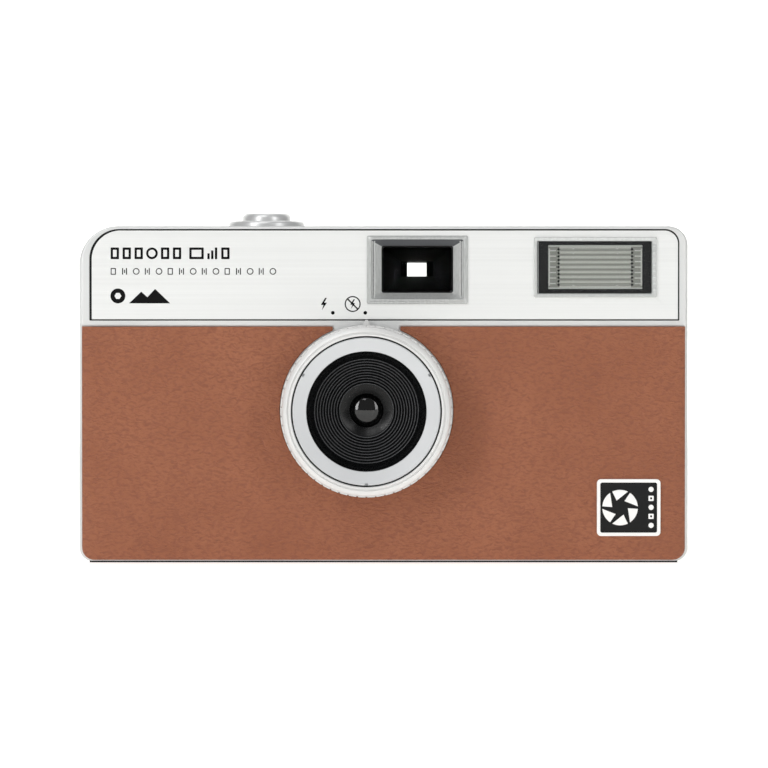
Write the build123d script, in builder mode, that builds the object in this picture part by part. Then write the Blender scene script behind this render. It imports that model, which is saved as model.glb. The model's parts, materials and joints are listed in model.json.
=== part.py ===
from build123d import *
from math import asin, degrees
import os

os.makedirs("parts", exist_ok=True)

# Compact half frame film camera. Millimetres. X runs to the right as seen from
# the front, the lens looks along -Y, Z is up. The origin is the bottom centre.

# Body
BODY_WIDTH = 110.0
BODY_HEIGHT = 60.6
FACE_Y = -10.4  # front face of the front cover
SPLIT_Y = -6.0  # joint between the front and the rear cover
REAR_EDGE_Y = 12.0  # rear edge of the rear cover, where the door begins
BACK_Y = 19.0  # outer face of the door
WALL = 1.8
COVER_INSET = 0.55  # how far the front cover stands inside the rear cover's outline
DOOR_TOP_Z = 50.1
STRIP_Z = 50.4  # lower edge of the fixed strip above the door
GAP = 0.3  # clearance between parts that move past each other

# Lens and its ring
LENS_X = -3.05
LENS_Z = 27.4
RING_FRONT_Y = -19.5
RING_RADIUS = 15.55
RING_BORE = 13.7
BARREL_RADIUS = 13.45
CONE_RADIUS = 10.85
LENS_RADIUS = 3.1

# Windows on the front
FINDER_X = 6.1
FINDER_Z = 52.7
EYE_Z = FINDER_Z + 2.2  # the eyepiece sits higher than the front window
FLASH_X = 38.15
FLASH_Z = 53.15

# Film transport
FILM_Y = 13.2  # film plane, one focal length behind the lens
SPOOL_X = -38.0
SPOOL_Y = 6.5
SPROCKET_X = -22.5
SPROCKET_Y = 8.4
CARTRIDGE_X = 39.0
CARTRIDGE_Y = 4.4
DECK_Z = 49.4  # underside of the chassis top deck
DECK_THICKNESS = 0.8
FLOOR_Z = 3.6  # top of the chassis floor

# Release button
BUTTON_X = -21.3
BUTTON_Y = 3.5

# Screws that hold the covers to the chassis, driven in from below
SCREW_PLACES = [(x, y) for x in (-46.0, 46.0) for y in (-2.5, 9.0)]
SCREW_HOLE_RADIUS = 0.85

# Door hinge
HINGE_X = -53.4
HINGE_Y = 17.4

# Battery, upright between the film gate and the cartridge
BATTERY_X = 17.5
BATTERY_Y = 0.6
BATTERY_RADIUS = 5.25


def facing(y):
    """Upright plane at depth y: local x is X, local y is Z, extrusion runs to the front."""
    return Plane.XZ.offset(-y)


def level(z):
    """Horizontal plane at height z."""
    return Plane.XY.offset(z)


def outline(plane, left, right, bottom, top, radii):
    """Filled rectangle with its own radius on each corner, from bottom left anticlockwise."""
    corners = [(left, bottom), (right, bottom), (right, top), (left, top)]
    with BuildSketch(plane) as sketch:
        with BuildLine():
            FilletPolyline(*corners, radius=radii, close=True)
        make_face()
    return sketch.sketch


def block(left, right, front, back, bottom, top):
    """Plain block between six named faces, for use outside a builder."""
    size = (right - left, back - front, top - bottom)
    centre = ((left + right) / 2, (front + back) / 2, (bottom + top) / 2)
    return Pos(*centre) * Box(*size, mode=Mode.PRIVATE)


def disc(plane, x, y, radius):
    """Filled circle at (x, y) on a plane."""
    with BuildSketch(plane) as sketch:
        with Locations((x, y)):
            Circle(radius)
    return sketch.sketch


def save(part, name):
    part.label = name
    export_step(part, f"parts/{name}.step")


# Covers

COVER_OUTLINE = dict(
    left=-BODY_WIDTH / 2 + COVER_INSET,
    right=BODY_WIDTH / 2 - COVER_INSET,
    bottom=0.3,
    top=BODY_HEIGHT - 0.15,
    radii=[2.0, 2.0, 3.0, 6.4],
)
BODY_OUTLINE = dict(
    left=-BODY_WIDTH / 2,
    right=BODY_WIDTH / 2,
    bottom=0.0,
    top=BODY_HEIGHT,
    radii=[2.4, 2.4, 3.5, 7.0],
)
INNER_OUTLINE = dict(
    left=-BODY_WIDTH / 2 + WALL,
    right=BODY_WIDTH / 2 - WALL,
    bottom=WALL,
    top=BODY_HEIGHT - WALL,
    radii=[0.5, 0.5, 2.0, 5.0],
)
LABEL_OUTLINE = dict(left=-52.7, right=53.0, bottom=43.8, top=59.85, radii=[0.1, 0.1, 2.4, 5.2])
LABEL_GAP = 0.25
LABEL_DEPTH = 0.5
COVER_INNER_Y = -8.8
PANEL_BACK_Y = -10.0
PANEL_FRONT_Y = -10.9
PANEL_TOP_Z = 42.5
PANEL_HOLE_RADIUS = 15.9
NECK_HALF_WIDTH = 6.1
COLLAR_HOLE_RADIUS = 12.1


def leather_outline(plane, margin):
    """Front leather panel: a rectangle that the lens ring bites into from above."""
    with BuildSketch(plane) as sketch:
        add(outline(
            plane=Plane.XY,
            left=-54.3 - margin,
            right=54.3 + margin,
            bottom=0.45 - margin,
            top=PANEL_TOP_Z + margin,
            radii=[1.8, 1.8, 0.1, 0.1],
        ))
        with Locations((LENS_X, LENS_Z)):
            Circle(PANEL_HOLE_RADIUS - margin, mode=Mode.SUBTRACT)
        with Locations((LENS_X, PANEL_TOP_Z)):
            Rectangle(2 * (NECK_HALF_WIDTH - margin), 2.4, mode=Mode.SUBTRACT)
    return sketch.sketch


with BuildPart() as front_cover:
    extrude(outline(facing(FACE_Y), **COVER_OUTLINE), amount=FACE_Y - SPLIT_Y)
    fillet(front_cover.faces().sort_by(Axis.Y)[0].edges(), radius=0.3)
    extrude(
        outline(facing(COVER_INNER_Y), **INNER_OUTLINE),
        amount=COVER_INNER_Y - SPLIT_Y,
        mode=Mode.SUBTRACT,
    )
    # recess of the label plate
    extrude(
        outline(
            facing(FACE_Y),
            left=LABEL_OUTLINE["left"] - LABEL_GAP,
            right=LABEL_OUTLINE["right"] + LABEL_GAP,
            bottom=LABEL_OUTLINE["bottom"] - LABEL_GAP,
            top=LABEL_OUTLINE["top"] + 0.2,
            radii=[0.2, 0.2, 2.6, 5.4],
        ),
        amount=-LABEL_DEPTH,
        mode=Mode.SUBTRACT,
    )
    # bed of the leather panel, open at the sides and the bottom
    extrude(
        leather_outline(facing(PANEL_BACK_Y), 0.2),
        amount=2.0,
        mode=Mode.SUBTRACT,
    )
    with BuildSketch(facing(FACE_Y - 1.0)):
        with Locations((FINDER_X, FINDER_Z)):
            Rectangle(15.4, 11.0)
        with Locations((FLASH_X, FLASH_Z)):
            Rectangle(20.6, 9.6)
        with Locations((LENS_X, LENS_Z)):
            Circle(COLLAR_HOLE_RADIUS)
    extrude(amount=-4.0, mode=Mode.SUBTRACT)
save(front_cover.part, "front_cover")

# Recesses and openings of the rear cover
KNOB_POCKET_RADIUS = 8.6
KNOB_POCKET_Z = 57.3
POCKET_FLOOR_Z = 56.5
BATTERY_LID = dict(left=10.4, right=25.0)
LID_TRAVEL = 14.5
LATCH_Z = 21.0
WHEEL_Z = (52.6, 56.6)
WINDOW_Y = 0.6
COUNTER_POST_RADIUS = 1.2
LAMP_X = 18.0
LAMP_Z = 54.9
KNUCKLE_RADIUS = 1.5
KNUCKLE_PIN_RADIUS = 0.7
KNUCKLE_SPANS = [(3.0, 10.0), (20.5, 29.5), (40.0, 47.0)]  # knuckles on the cover
DOOR_KNUCKLE_SPANS = [(10.3, 20.2), (29.8, 39.7)]  # knuckles on the door

with BuildPart() as rear_cover:
    extrude(outline(facing(SPLIT_Y), **BODY_OUTLINE), amount=SPLIT_Y - REAR_EDGE_Y)
    # the fixed strip above the door
    extrude(
        outline(
            facing(REAR_EDGE_Y),
            left=-BODY_WIDTH / 2,
            right=BODY_WIDTH / 2,
            bottom=STRIP_Z,
            top=BODY_HEIGHT,
            radii=[0.05, 0.05, 3.5, 7.0],
        ),
        amount=REAR_EDGE_Y - BACK_Y,
    )
    fillet(rear_cover.faces().sort_by(Axis.Y)[-1].edges().sort_by(Axis.Z)[1:], radius=1.0)
    extrude(
        outline(facing(SPLIT_Y), **INNER_OUTLINE),
        amount=SPLIT_Y - REAR_EDGE_Y,
        mode=Mode.SUBTRACT,
    )
    extrude(
        outline(
            facing(REAR_EDGE_Y),
            left=-BODY_WIDTH / 2 + WALL,
            right=BODY_WIDTH / 2 - WALL,
            bottom=STRIP_Z + 0.9,
            top=BODY_HEIGHT - WALL,
            radii=[0.5, 0.5, 2.0, 5.0],
        ),
        amount=REAR_EDGE_Y - BACK_Y + WALL,
        mode=Mode.SUBTRACT,
    )
    # hinge post with its knuckles
    add(block(-55.0, -53.4, REAR_EDGE_Y - 0.5, 15.6, 1.0, DOOR_TOP_Z - 0.3))
    for low, high in KNUCKLE_SPANS:
        extrude(disc(level(low), HINGE_X, HINGE_Y, KNUCKLE_RADIUS), amount=high - low)
        add(block(-54.6, -53.4, 15.4, HINGE_Y, low, high))
        extrude(
            disc(level(low), HINGE_X, HINGE_Y, KNUCKLE_PIN_RADIUS),
            amount=high - low,
            mode=Mode.SUBTRACT,
        )
    # pocket of the rewind knob, with its floor
    extrude(
        disc(level(POCKET_FLOOR_Z), CARTRIDGE_X, CARTRIDGE_Y, KNOB_POCKET_RADIUS + 1.2),
        amount=BODY_HEIGHT - POCKET_FLOOR_Z - 0.5,
    )
    extrude(
        disc(level(BODY_HEIGHT), CARTRIDGE_X, CARTRIDGE_Y, KNOB_POCKET_RADIUS),
        amount=KNOB_POCKET_Z - BODY_HEIGHT,
        mode=Mode.SUBTRACT,
    )
    extrude(
        disc(level(BODY_HEIGHT), CARTRIDGE_X, CARTRIDGE_Y, 2.9),
        amount=-8.0,
        mode=Mode.SUBTRACT,
    )
    # ready lamp, release button, counter window and counter post
    extrude(disc(facing(BACK_Y + 1), LAMP_X, LAMP_Z, 1.45), amount=4, mode=Mode.SUBTRACT)
    extrude(disc(level(BODY_HEIGHT + 1), BUTTON_X, BUTTON_Y, 4.8), amount=-4, mode=Mode.SUBTRACT)
    extrude(disc(level(57.3), SPOOL_X, SPOOL_Y, COUNTER_POST_RADIUS), amount=2.0)
    with BuildSketch(level(BODY_HEIGHT + 1)):
        with Locations((SPOOL_X, WINDOW_Y)):
            RectangleRounded(5.2, 4.2, 0.8)
    extrude(amount=-4, mode=Mode.SUBTRACT)
    # slot of the advance wheel and opening of the eyepiece
    with BuildSketch(facing(BACK_Y + 1)):
        with Locations((SPOOL_X, (WHEEL_Z[0] + WHEEL_Z[1]) / 2)):
            RectangleRounded(18.6, 4.8, 0.6)
        with Locations((FINDER_X, EYE_Z)):
            RectangleRounded(12.4, 6.4, 1.0)
    extrude(amount=4, mode=Mode.SUBTRACT)
    # battery opening, and the grooves that its lid slides in
    extrude(
        outline(
            level(-1),
            left=11.4,
            right=23.6,
            bottom=BATTERY_Y - 5.5,
            top=BATTERY_Y + 5.5,
            radii=[1.0] * 4,
        ),
        amount=4,
        mode=Mode.SUBTRACT,
    )
    add(
        block(10.2, 25.2 + LID_TRAVEL, BATTERY_Y - 6.1, BATTERY_Y + 6.1, -1.0, 1.15),
        mode=Mode.SUBTRACT,
    )
    add(
        block(10.2, 25.2 + LID_TRAVEL, BATTERY_Y - 6.8, BATTERY_Y + 6.8, 0.5, 1.15),
        mode=Mode.SUBTRACT,
    )
    # rewind release button at the bottom
    extrude(disc(level(-1), SPROCKET_X, SPROCKET_Y, 2.1), amount=4, mode=Mode.SUBTRACT)
    # latch recess in the side, with the slot for its arm
    add(block(54.0, 56.0, 3.0, 9.0, LATCH_Z - 1.0, LATCH_Z + 13.4), mode=Mode.SUBTRACT)
    add(block(52.0, 55.0, 4.4, 7.6, LATCH_Z + 1.2, LATCH_Z + 8.6), mode=Mode.SUBTRACT)
    # strap opening through the side wall, at the top of the hinge side
    add(block(-56.0, -53.0, -2.0, 4.0, 44.0, 53.0), mode=Mode.SUBTRACT)
    # counterbored screw holes in the bottom
    for x, y in SCREW_PLACES:
        extrude(disc(level(-1), x, y, 1.6), amount=1.9, mode=Mode.SUBTRACT)
        extrude(disc(level(-1), x, y, SCREW_HOLE_RADIUS), amount=4.0, mode=Mode.SUBTRACT)
save(rear_cover.part, "rear_cover")

# Front trim

LABEL_FRONT_Y = -10.35
LABEL_BACK_Y = -9.9
BADGE = dict(left=38.4, right=49.85, bottom=4.8, top=15.05)
BADGE_CENTRE = ((BADGE["left"] + BADGE["right"]) / 2, (BADGE["bottom"] + BADGE["top"]) / 2)
BADGE_FRONT_Y = -11.4

with BuildPart() as label_plate:
    extrude(outline(facing(LABEL_FRONT_Y), **LABEL_OUTLINE), amount=LABEL_FRONT_Y - LABEL_BACK_Y)
    with BuildSketch(facing(LABEL_FRONT_Y - 1)):
        with Locations((FINDER_X, FINDER_Z)):
            Rectangle(15.6, 11.2)
        with Locations((FLASH_X, FLASH_Z)):
            Rectangle(20.8, 9.8)
    extrude(amount=-3.0, mode=Mode.SUBTRACT)
save(label_plate.part, "label_plate")

with BuildPart() as leather_panel:
    extrude(leather_outline(facing(PANEL_FRONT_Y), 0.0), amount=PANEL_FRONT_Y - PANEL_BACK_Y)
    front_edges = leather_panel.faces().sort_by(Axis.Y)[0].edges()
    outer_edges = front_edges.filter_by(lambda e: abs(e.center().X) > 54 or e.center().Z < 3)
    fillet(outer_edges, radius=0.8)
    with BuildSketch(facing(PANEL_FRONT_Y - 1)):
        with Locations(BADGE_CENTRE):
            Rectangle(10.6, 9.4)
    extrude(amount=-1.5, mode=Mode.SUBTRACT)
save(leather_panel.part, "leather_panel")

with BuildPart() as badge:
    extrude(outline(facing(BADGE_FRONT_Y), radii=[0.5] * 4, **BADGE), amount=-0.5)
    with BuildSketch(facing(BADGE_FRONT_Y + 0.5)):
        with Locations(BADGE_CENTRE):
            Rectangle(10.4, 9.2)
    extrude(amount=-0.5)
    # sunk field inside the raised border
    with BuildSketch(facing(BADGE_FRONT_Y)):
        with Locations(BADGE_CENTRE):
            Rectangle(10.0, 8.8)
    extrude(amount=-0.2, mode=Mode.SUBTRACT)
save(badge.part, "badge")

# Viewfinder

BEZEL_FRONT_Y = -10.9
BEZEL_BACK_Y = -7.6
MOUTH_Z = FINDER_Z + 0.1
MOUTH_FRONT = (16.6, 10.6)
MOUTH_BACK = (12.9, 8.5)

with BuildPart() as viewfinder_bezel:
    with BuildSketch(facing(BEZEL_FRONT_Y)):
        with Locations((FINDER_X, FINDER_Z)):
            RectangleRounded(18.2, 12.3, 0.3)
    extrude(amount=BEZEL_FRONT_Y - LABEL_FRONT_Y)
    with BuildSketch(facing(LABEL_FRONT_Y)):
        with Locations((FINDER_X, FINDER_Z)):
            Rectangle(15.2, 10.8)
    extrude(amount=LABEL_FRONT_Y - BEZEL_BACK_Y)
    # sloped mouth
    with BuildSketch(facing(BEZEL_FRONT_Y - 0.01)):
        with Locations((FINDER_X, MOUTH_Z)):
            Rectangle(*MOUTH_FRONT)
    with BuildSketch(facing(BEZEL_FRONT_Y + 1.7)):
        with Locations((FINDER_X, MOUTH_Z)):
            Rectangle(*MOUTH_BACK)
    loft(mode=Mode.SUBTRACT)
    with BuildSketch(facing(BEZEL_FRONT_Y)):
        with Locations((FINDER_X, MOUTH_Z)):
            Rectangle(*MOUTH_BACK)
    extrude(amount=-4.0, mode=Mode.SUBTRACT)
save(viewfinder_bezel.part, "viewfinder_bezel")

with BuildPart() as viewfinder_front_lens:
    with BuildSketch(facing(BEZEL_BACK_Y)):
        with Locations((FINDER_X, FINDER_Z)):
            Rectangle(14.0, 9.6)
    extrude(amount=-1.2)
save(viewfinder_front_lens.part, "viewfinder_front_lens")

TUBE_FRONT_Y = -6.4
TUBE_BACK_Y = 15.6
with BuildPart() as viewfinder_tube:
    with BuildSketch(facing(TUBE_FRONT_Y)):
        with Locations((FINDER_X, FINDER_Z)):
            Rectangle(14.6, 10.0)
    with BuildSketch(facing(TUBE_BACK_Y)):
        with Locations((FINDER_X, EYE_Z)):
            Rectangle(11.0, 5.4)
    loft()
    with BuildSketch(facing(TUBE_FRONT_Y - 0.01)):
        with Locations((FINDER_X, FINDER_Z)):
            Rectangle(13.2, 8.6)
    with BuildSketch(facing(TUBE_BACK_Y + 0.01)):
        with Locations((FINDER_X, EYE_Z)):
            Rectangle(9.6, 4.2)
    loft(mode=Mode.SUBTRACT)
save(viewfinder_tube.part, "viewfinder_tube")

with BuildPart() as viewfinder_rear_lens:
    with BuildSketch(facing(TUBE_BACK_Y)):
        with Locations((FINDER_X, EYE_Z)):
            Rectangle(10.6, 5.0)
    extrude(amount=-1.2)
save(viewfinder_rear_lens.part, "viewfinder_rear_lens")

with BuildPart() as eyepiece_frame:
    with BuildSketch(facing(19.5)):
        with Locations((FINDER_X, EYE_Z)):
            RectangleRounded(15.0, 8.4, 1.4)
    extrude(amount=0.5)
    with BuildSketch(facing(19.0)):
        with Locations((FINDER_X, EYE_Z)):
            RectangleRounded(12.2, 6.2, 0.9)
    extrude(amount=2.2)
    with BuildSketch(facing(20.0)):
        with Locations((FINDER_X, EYE_Z)):
            RectangleRounded(9.6, 4.4, 0.6)
    extrude(amount=5.0, mode=Mode.SUBTRACT)
save(eyepiece_frame.part, "eyepiece_frame")

# Flash

with BuildPart() as flash_window:
    with BuildSketch(facing(-10.85)):
        with Locations((FLASH_X, FLASH_Z)):
            RectangleRounded(22.1, 10.9, 0.3)
    extrude(amount=-0.5)
    with BuildSketch(facing(-10.35)):
        with Locations((FLASH_X, FLASH_Z)):
            Rectangle(20.4, 9.4)
    extrude(amount=-0.95)
save(flash_window.part, "flash_window")

with BuildPart() as flash_mask:
    with BuildSketch(facing(-9.4)):
        with Locations((FLASH_X, FLASH_Z)):
            Rectangle(20.4, 9.4)
            Rectangle(17.0, 8.0, mode=Mode.SUBTRACT)
    extrude(amount=-0.6)
save(flash_mask.part, "flash_mask")

REFLECTOR_FRONT_Y = -8.7
REFLECTOR_BACK_Y = -5.45
REFLECTOR_Z = 54.1
TUBE_Y = -6.9  # xenon tube across the reflector
TUBE_Z = REFLECTOR_Z + 0.5
with BuildPart() as flash_reflector:
    with BuildSketch(facing(REFLECTOR_FRONT_Y)):
        with Locations((FLASH_X, REFLECTOR_Z)):
            RectangleRounded(18.2, 7.0, 0.8)
    with BuildSketch(facing(REFLECTOR_BACK_Y)):
        with Locations((FLASH_X, REFLECTOR_Z + 0.7)):
            RectangleRounded(16.4, 4.4, 0.8)
    loft()
    with BuildSketch(facing(REFLECTOR_FRONT_Y - 0.01)):
        with Locations((FLASH_X, REFLECTOR_Z)):
            RectangleRounded(17.2, 6.0, 0.5)
    with BuildSketch(facing(REFLECTOR_BACK_Y - 0.4)):
        with Locations((FLASH_X, REFLECTOR_Z + 0.7)):
            RectangleRounded(15.4, 3.4, 0.5)
    loft(mode=Mode.SUBTRACT)
    # holes that the tube ends pass through
    with BuildSketch(Plane.YZ.offset(FLASH_X - 12)):
        with Locations((TUBE_Y, TUBE_Z)):
            Circle(1.1)
    extrude(amount=24.0, mode=Mode.SUBTRACT)
save(flash_reflector.part, "flash_reflector")

with BuildPart() as flash_tube:
    with BuildSketch(Plane.YZ.offset(FLASH_X - 10.2)):
        with Locations((TUBE_Y, TUBE_Z)):
            Circle(1.0)
    extrude(amount=20.4)
    for side in (-1, 1):
        with BuildSketch(Plane.YZ.offset(FLASH_X + side * 10.2)):
            with Locations((TUBE_Y, TUBE_Z)):
                Circle(0.35)
        extrude(amount=side * 1.2)
save(flash_tube.part, "flash_tube")

BOARD_Z = 50.8
with BuildPart() as circuit_board:
    with BuildSketch(level(BOARD_Z)):
        with Locations((34.5, 5.0)):
            Rectangle(35.0, 13.4)
        with Locations((CARTRIDGE_X, CARTRIDGE_Y)):
            Circle(5.0, mode=Mode.SUBTRACT)
    extrude(amount=1.0)
save(circuit_board.part, "circuit_board")

with BuildPart() as flash_transformer:
    with BuildSketch(level(BOARD_Z + 1.0)):
        with Locations((22.5, 5.0)):
            Rectangle(7.6, 8.0)
    extrude(amount=0.8)
    with BuildSketch(level(BOARD_Z + 1.8)):
        with Locations((22.5, 5.0)):
            Rectangle(6.0, 8.0)
    extrude(amount=2.8)
    with BuildSketch(level(BOARD_Z + 4.6)):
        with Locations((22.5, 5.0)):
            Rectangle(7.6, 8.0)
    extrude(amount=0.8)
save(flash_transformer.part, "flash_transformer")

CAPACITOR_X = -19.3
CAPACITOR_Y = -2.4
with BuildPart() as flash_capacitor:
    extrude(disc(level(FLOOR_Z), CAPACITOR_X, CAPACITOR_Y, 4.0), amount=30.0)
    fillet(flash_capacitor.faces().sort_by(Axis.Z)[-1].edges(), radius=0.6)
save(flash_capacitor.part, "flash_capacitor")

# Battery

BATTERY_LOW_Z = 1.3
BATTERY_CAN_LENGTH = 43.3
BATTERY_LENGTH = 44.5  # with the button at its top end
with BuildPart() as battery:
    extrude(disc(level(BATTERY_LOW_Z), BATTERY_X, BATTERY_Y, BATTERY_RADIUS), amount=BATTERY_CAN_LENGTH)
    fillet(battery.edges().filter_by(GeomType.CIRCLE), radius=0.4)
    extrude(
        disc(level(BATTERY_LOW_Z + BATTERY_CAN_LENGTH), BATTERY_X, BATTERY_Y, 1.9),
        amount=BATTERY_LENGTH - BATTERY_CAN_LENGTH,
    )
save(battery.part, "battery")

with BuildPart() as battery_contact:
    add(block(
        BATTERY_X - 3.8, BATTERY_X + 3.8,
        BATTERY_Y - 3.5, BATTERY_Y + 3.5, DECK_Z - 0.3, DECK_Z,
    ))
save(battery_contact.part, "battery_contact")

with BuildPart() as battery_lid:
    add(block(
        BATTERY_LID["left"], BATTERY_LID["right"],
        BATTERY_Y - 5.9, BATTERY_Y + 5.9, 0.15, 1.0,
    ))
    add(block(
        BATTERY_LID["left"], BATTERY_LID["right"],
        BATTERY_Y - 6.55, BATTERY_Y + 6.55, 0.65, 1.0,
    ))
    # finger ribs
    for x in (12.5, 13.9, 15.3):
        add(block(x, x + 0.5, BATTERY_Y - 3.0, BATTERY_Y + 3.0, 0.0, 0.5), mode=Mode.SUBTRACT)
save(battery_lid.part, "battery_lid")

with BuildPart() as lid_contact:
    add(block(
        BATTERY_X - 4.0, BATTERY_X + 4.0,
        BATTERY_Y - 3.0, BATTERY_Y + 3.0, 1.0, 1.1,
    ))
save(lid_contact.part, "lid_contact")

# Lens and flash ring

RING_BACK_Y = -10.7
BARREL_FRONT_Y = -18.4
BARREL_BACK_Y = -6.5
BARREL_NECK_RADIUS = 11.9
LENS_SEAT_Y = -10.2
RIB_OUTER_RADIUS = 9.1
RIB_INNER_RADIUS = 4.8
RIB_COUNT = 10
GRIP_COUNT = 60
LENS_CENTRE = (LENS_X, 0, LENS_Z)
LENS_PLANE = Plane(origin=LENS_CENTRE, x_dir=(1, 0, 0), z_dir=(0, -1, 0))
LENS_AXIS = Axis(LENS_CENTRE, (0, 1, 0))
LENS_SECTION = Plane(origin=LENS_CENTRE, x_dir=(1, 0, 0), z_dir=(0, 0, 1))


def turned(points):
    """Solid of revolution about the lens axis, from (radius, y) points in the level section."""
    with BuildPart() as solid:
        with BuildSketch(LENS_SECTION):
            with BuildLine():
                Polyline(*points, close=True)
            make_face()
        revolve(axis=LENS_AXIS)
    return solid.part


def rib_steps():
    """Section of the hood between the ribs' outer and inner radius: one step per rib."""
    pitch = (RIB_OUTER_RADIUS - RIB_INNER_RADIUS) / RIB_COUNT
    depth = (LENS_SEAT_Y - 2.2 - (BARREL_FRONT_Y + 2.6)) / RIB_COUNT
    steps = []
    for i in range(RIB_COUNT):
        radius = RIB_OUTER_RADIUS - i * pitch
        y = BARREL_FRONT_Y + 2.6 + i * depth
        steps += [(radius, y), (radius, y + depth)]
    return steps


with BuildPart() as flash_ring:
    add(turned([
        (RING_BORE, RING_FRONT_Y + 0.3),
        (RING_BORE + 0.25, RING_FRONT_Y),
        (RING_BORE + 1.1, RING_FRONT_Y),
        (RING_RADIUS - 0.35, RING_FRONT_Y + 1.2),
        (RING_RADIUS, RING_FRONT_Y + 2.4),
        (RING_RADIUS, RING_BACK_Y),
        (RING_BORE, RING_BACK_Y),
    ]))
    # grip notches around the rim
    with BuildSketch(LENS_PLANE.offset(-RING_BACK_Y - 0.9)):
        with PolarLocations(RING_RADIUS, GRIP_COUNT):
            Rectangle(0.4, 0.5)
    extrude(amount=5.8, mode=Mode.SUBTRACT)
    # pointer on the foot of the ring
    with BuildSketch(LENS_PLANE.offset(-RING_BACK_Y)):
        with BuildLine():
            Polyline((-0.75, RING_RADIUS - 0.4), (0.75, RING_RADIUS - 0.4), (0.24, 16.3), (-0.24, 16.3),
                     close=True)
        make_face()
    extrude(amount=0.9)
save(flash_ring.part, "flash_ring")

with BuildPart() as lens_barrel:
    add(turned([
        (BARREL_RADIUS, BARREL_FRONT_Y),
        (CONE_RADIUS, BARREL_FRONT_Y),
        (CONE_RADIUS - 0.5, BARREL_FRONT_Y + 1.2),
        (RIB_OUTER_RADIUS + 0.3, BARREL_FRONT_Y + 2.6),
        *rib_steps(),
        (RIB_INNER_RADIUS, LENS_SEAT_Y - 2.2),
        (LENS_RADIUS, LENS_SEAT_Y - 0.3),
        (LENS_RADIUS, LENS_SEAT_Y),
        (4.3, LENS_SEAT_Y),
        (4.3, BARREL_BACK_Y),
        (BARREL_NECK_RADIUS, BARREL_BACK_Y),
        (BARREL_NECK_RADIUS, FACE_Y),
        (BARREL_RADIUS, FACE_Y),
    ]))
save(lens_barrel.part, "lens_barrel")

with BuildPart() as lens_trim:
    add(turned([
        (BARREL_RADIUS, BARREL_FRONT_Y),
        (BARREL_RADIUS, RING_FRONT_Y + 0.35),
        (BARREL_RADIUS - 0.2, RING_FRONT_Y + 0.15),
        (CONE_RADIUS + 0.1, RING_FRONT_Y + 0.5),
        (CONE_RADIUS, BARREL_FRONT_Y),
    ]))
    # snap notches in the rim
    with BuildSketch(LENS_PLANE.offset(-BARREL_FRONT_Y)):
        with PolarLocations(BARREL_RADIUS, 3, start_angle=30):
            Rectangle(0.7, 0.9)
    extrude(amount=3.0, mode=Mode.SUBTRACT)
save(lens_trim.part, "lens_trim")

DOME_HEIGHT = 0.9
DOME_HALF_WIDTH = LENS_RADIUS - 0.1
DOME_RADIUS = (DOME_HALF_WIDTH**2 + DOME_HEIGHT**2) / (2 * DOME_HEIGHT)
DOME_ANGLE = degrees(asin(DOME_HALF_WIDTH / DOME_RADIUS))

with BuildPart() as front_lens:
    with BuildSketch(LENS_SECTION):
        with BuildLine():
            dome = CenterArc(
                (0, LENS_SEAT_Y - DOME_HEIGHT + DOME_RADIUS), DOME_RADIUS, -90, DOME_ANGLE
            )
            Polyline(dome @ 0, (0, -8.9), (4.2, -8.9), (4.2, LENS_SEAT_Y), dome @ 1)
        make_face()
    revolve(axis=LENS_AXIS)
save(front_lens.part, "front_lens")

with BuildPart() as iris_disc:
    add(turned([(1.16, -8.9), (4.2, -8.9), (4.2, -8.6), (1.16, -8.6)]))
save(iris_disc.part, "iris_disc")

with BuildPart() as rear_lens:
    add(turned([(0, -8.6), (4.2, -8.6), (4.2, -7.4), (0, -7.4)]))
save(rear_lens.part, "rear_lens")

with BuildPart() as lens_retainer:
    add(turned([(2.8, -7.4), (4.25, -7.4), (4.25, -6.7), (2.8, -6.7)]))
save(lens_retainer.part, "lens_retainer")

# Shutter

SHUTTER_Y = -5.4  # front face of the shutter plate
BLADE_Y = -6.1
PIVOT_X = LENS_X - 10.5
PIVOT_Z = LENS_Z + 7.5

with BuildPart() as shutter_plate:
    with BuildSketch(facing(SHUTTER_Y)):
        with Locations((LENS_X, LENS_Z)):
            Rectangle(24.0, 24.0)
            Circle(2.6, mode=Mode.SUBTRACT)
        with Locations((PIVOT_X, PIVOT_Z)):
            Circle(0.85, mode=Mode.SUBTRACT)
    extrude(amount=-0.8)
save(shutter_plate.part, "shutter_plate")

with BuildPart() as shutter_pivot:
    extrude(disc(facing(SHUTTER_Y + 0.8), PIVOT_X, PIVOT_Z, 0.85), amount=1.6)
    extrude(disc(facing(BLADE_Y - 0.1), PIVOT_X, PIVOT_Z, 1.5), amount=0.25)
save(shutter_pivot.part, "shutter_pivot")

with BuildPart() as shutter_blade:
    with BuildSketch(facing(BLADE_Y + 0.3)):
        with BuildLine():
            Polyline((PIVOT_X - 0.8, PIVOT_Z - 1.6), (PIVOT_X + 1.1, PIVOT_Z + 1.5),
                     (LENS_X + 1.6, LENS_Z + 2.9), (LENS_X - 2.4, LENS_Z - 2.3), close=True)
        make_face()
        with Locations((LENS_X, LENS_Z)):
            Circle(3.4)
        with Locations((PIVOT_X, PIVOT_Z)):
            Circle(1.9)
            Circle(0.92, mode=Mode.SUBTRACT)
    extrude(amount=0.3)
save(shutter_blade.part, "shutter_blade")

# Release button

BUTTON_RADIUS = 4.425
COLLAR_RADIUS = 6.9
BUTTON_TRAVEL = 1.5

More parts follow.
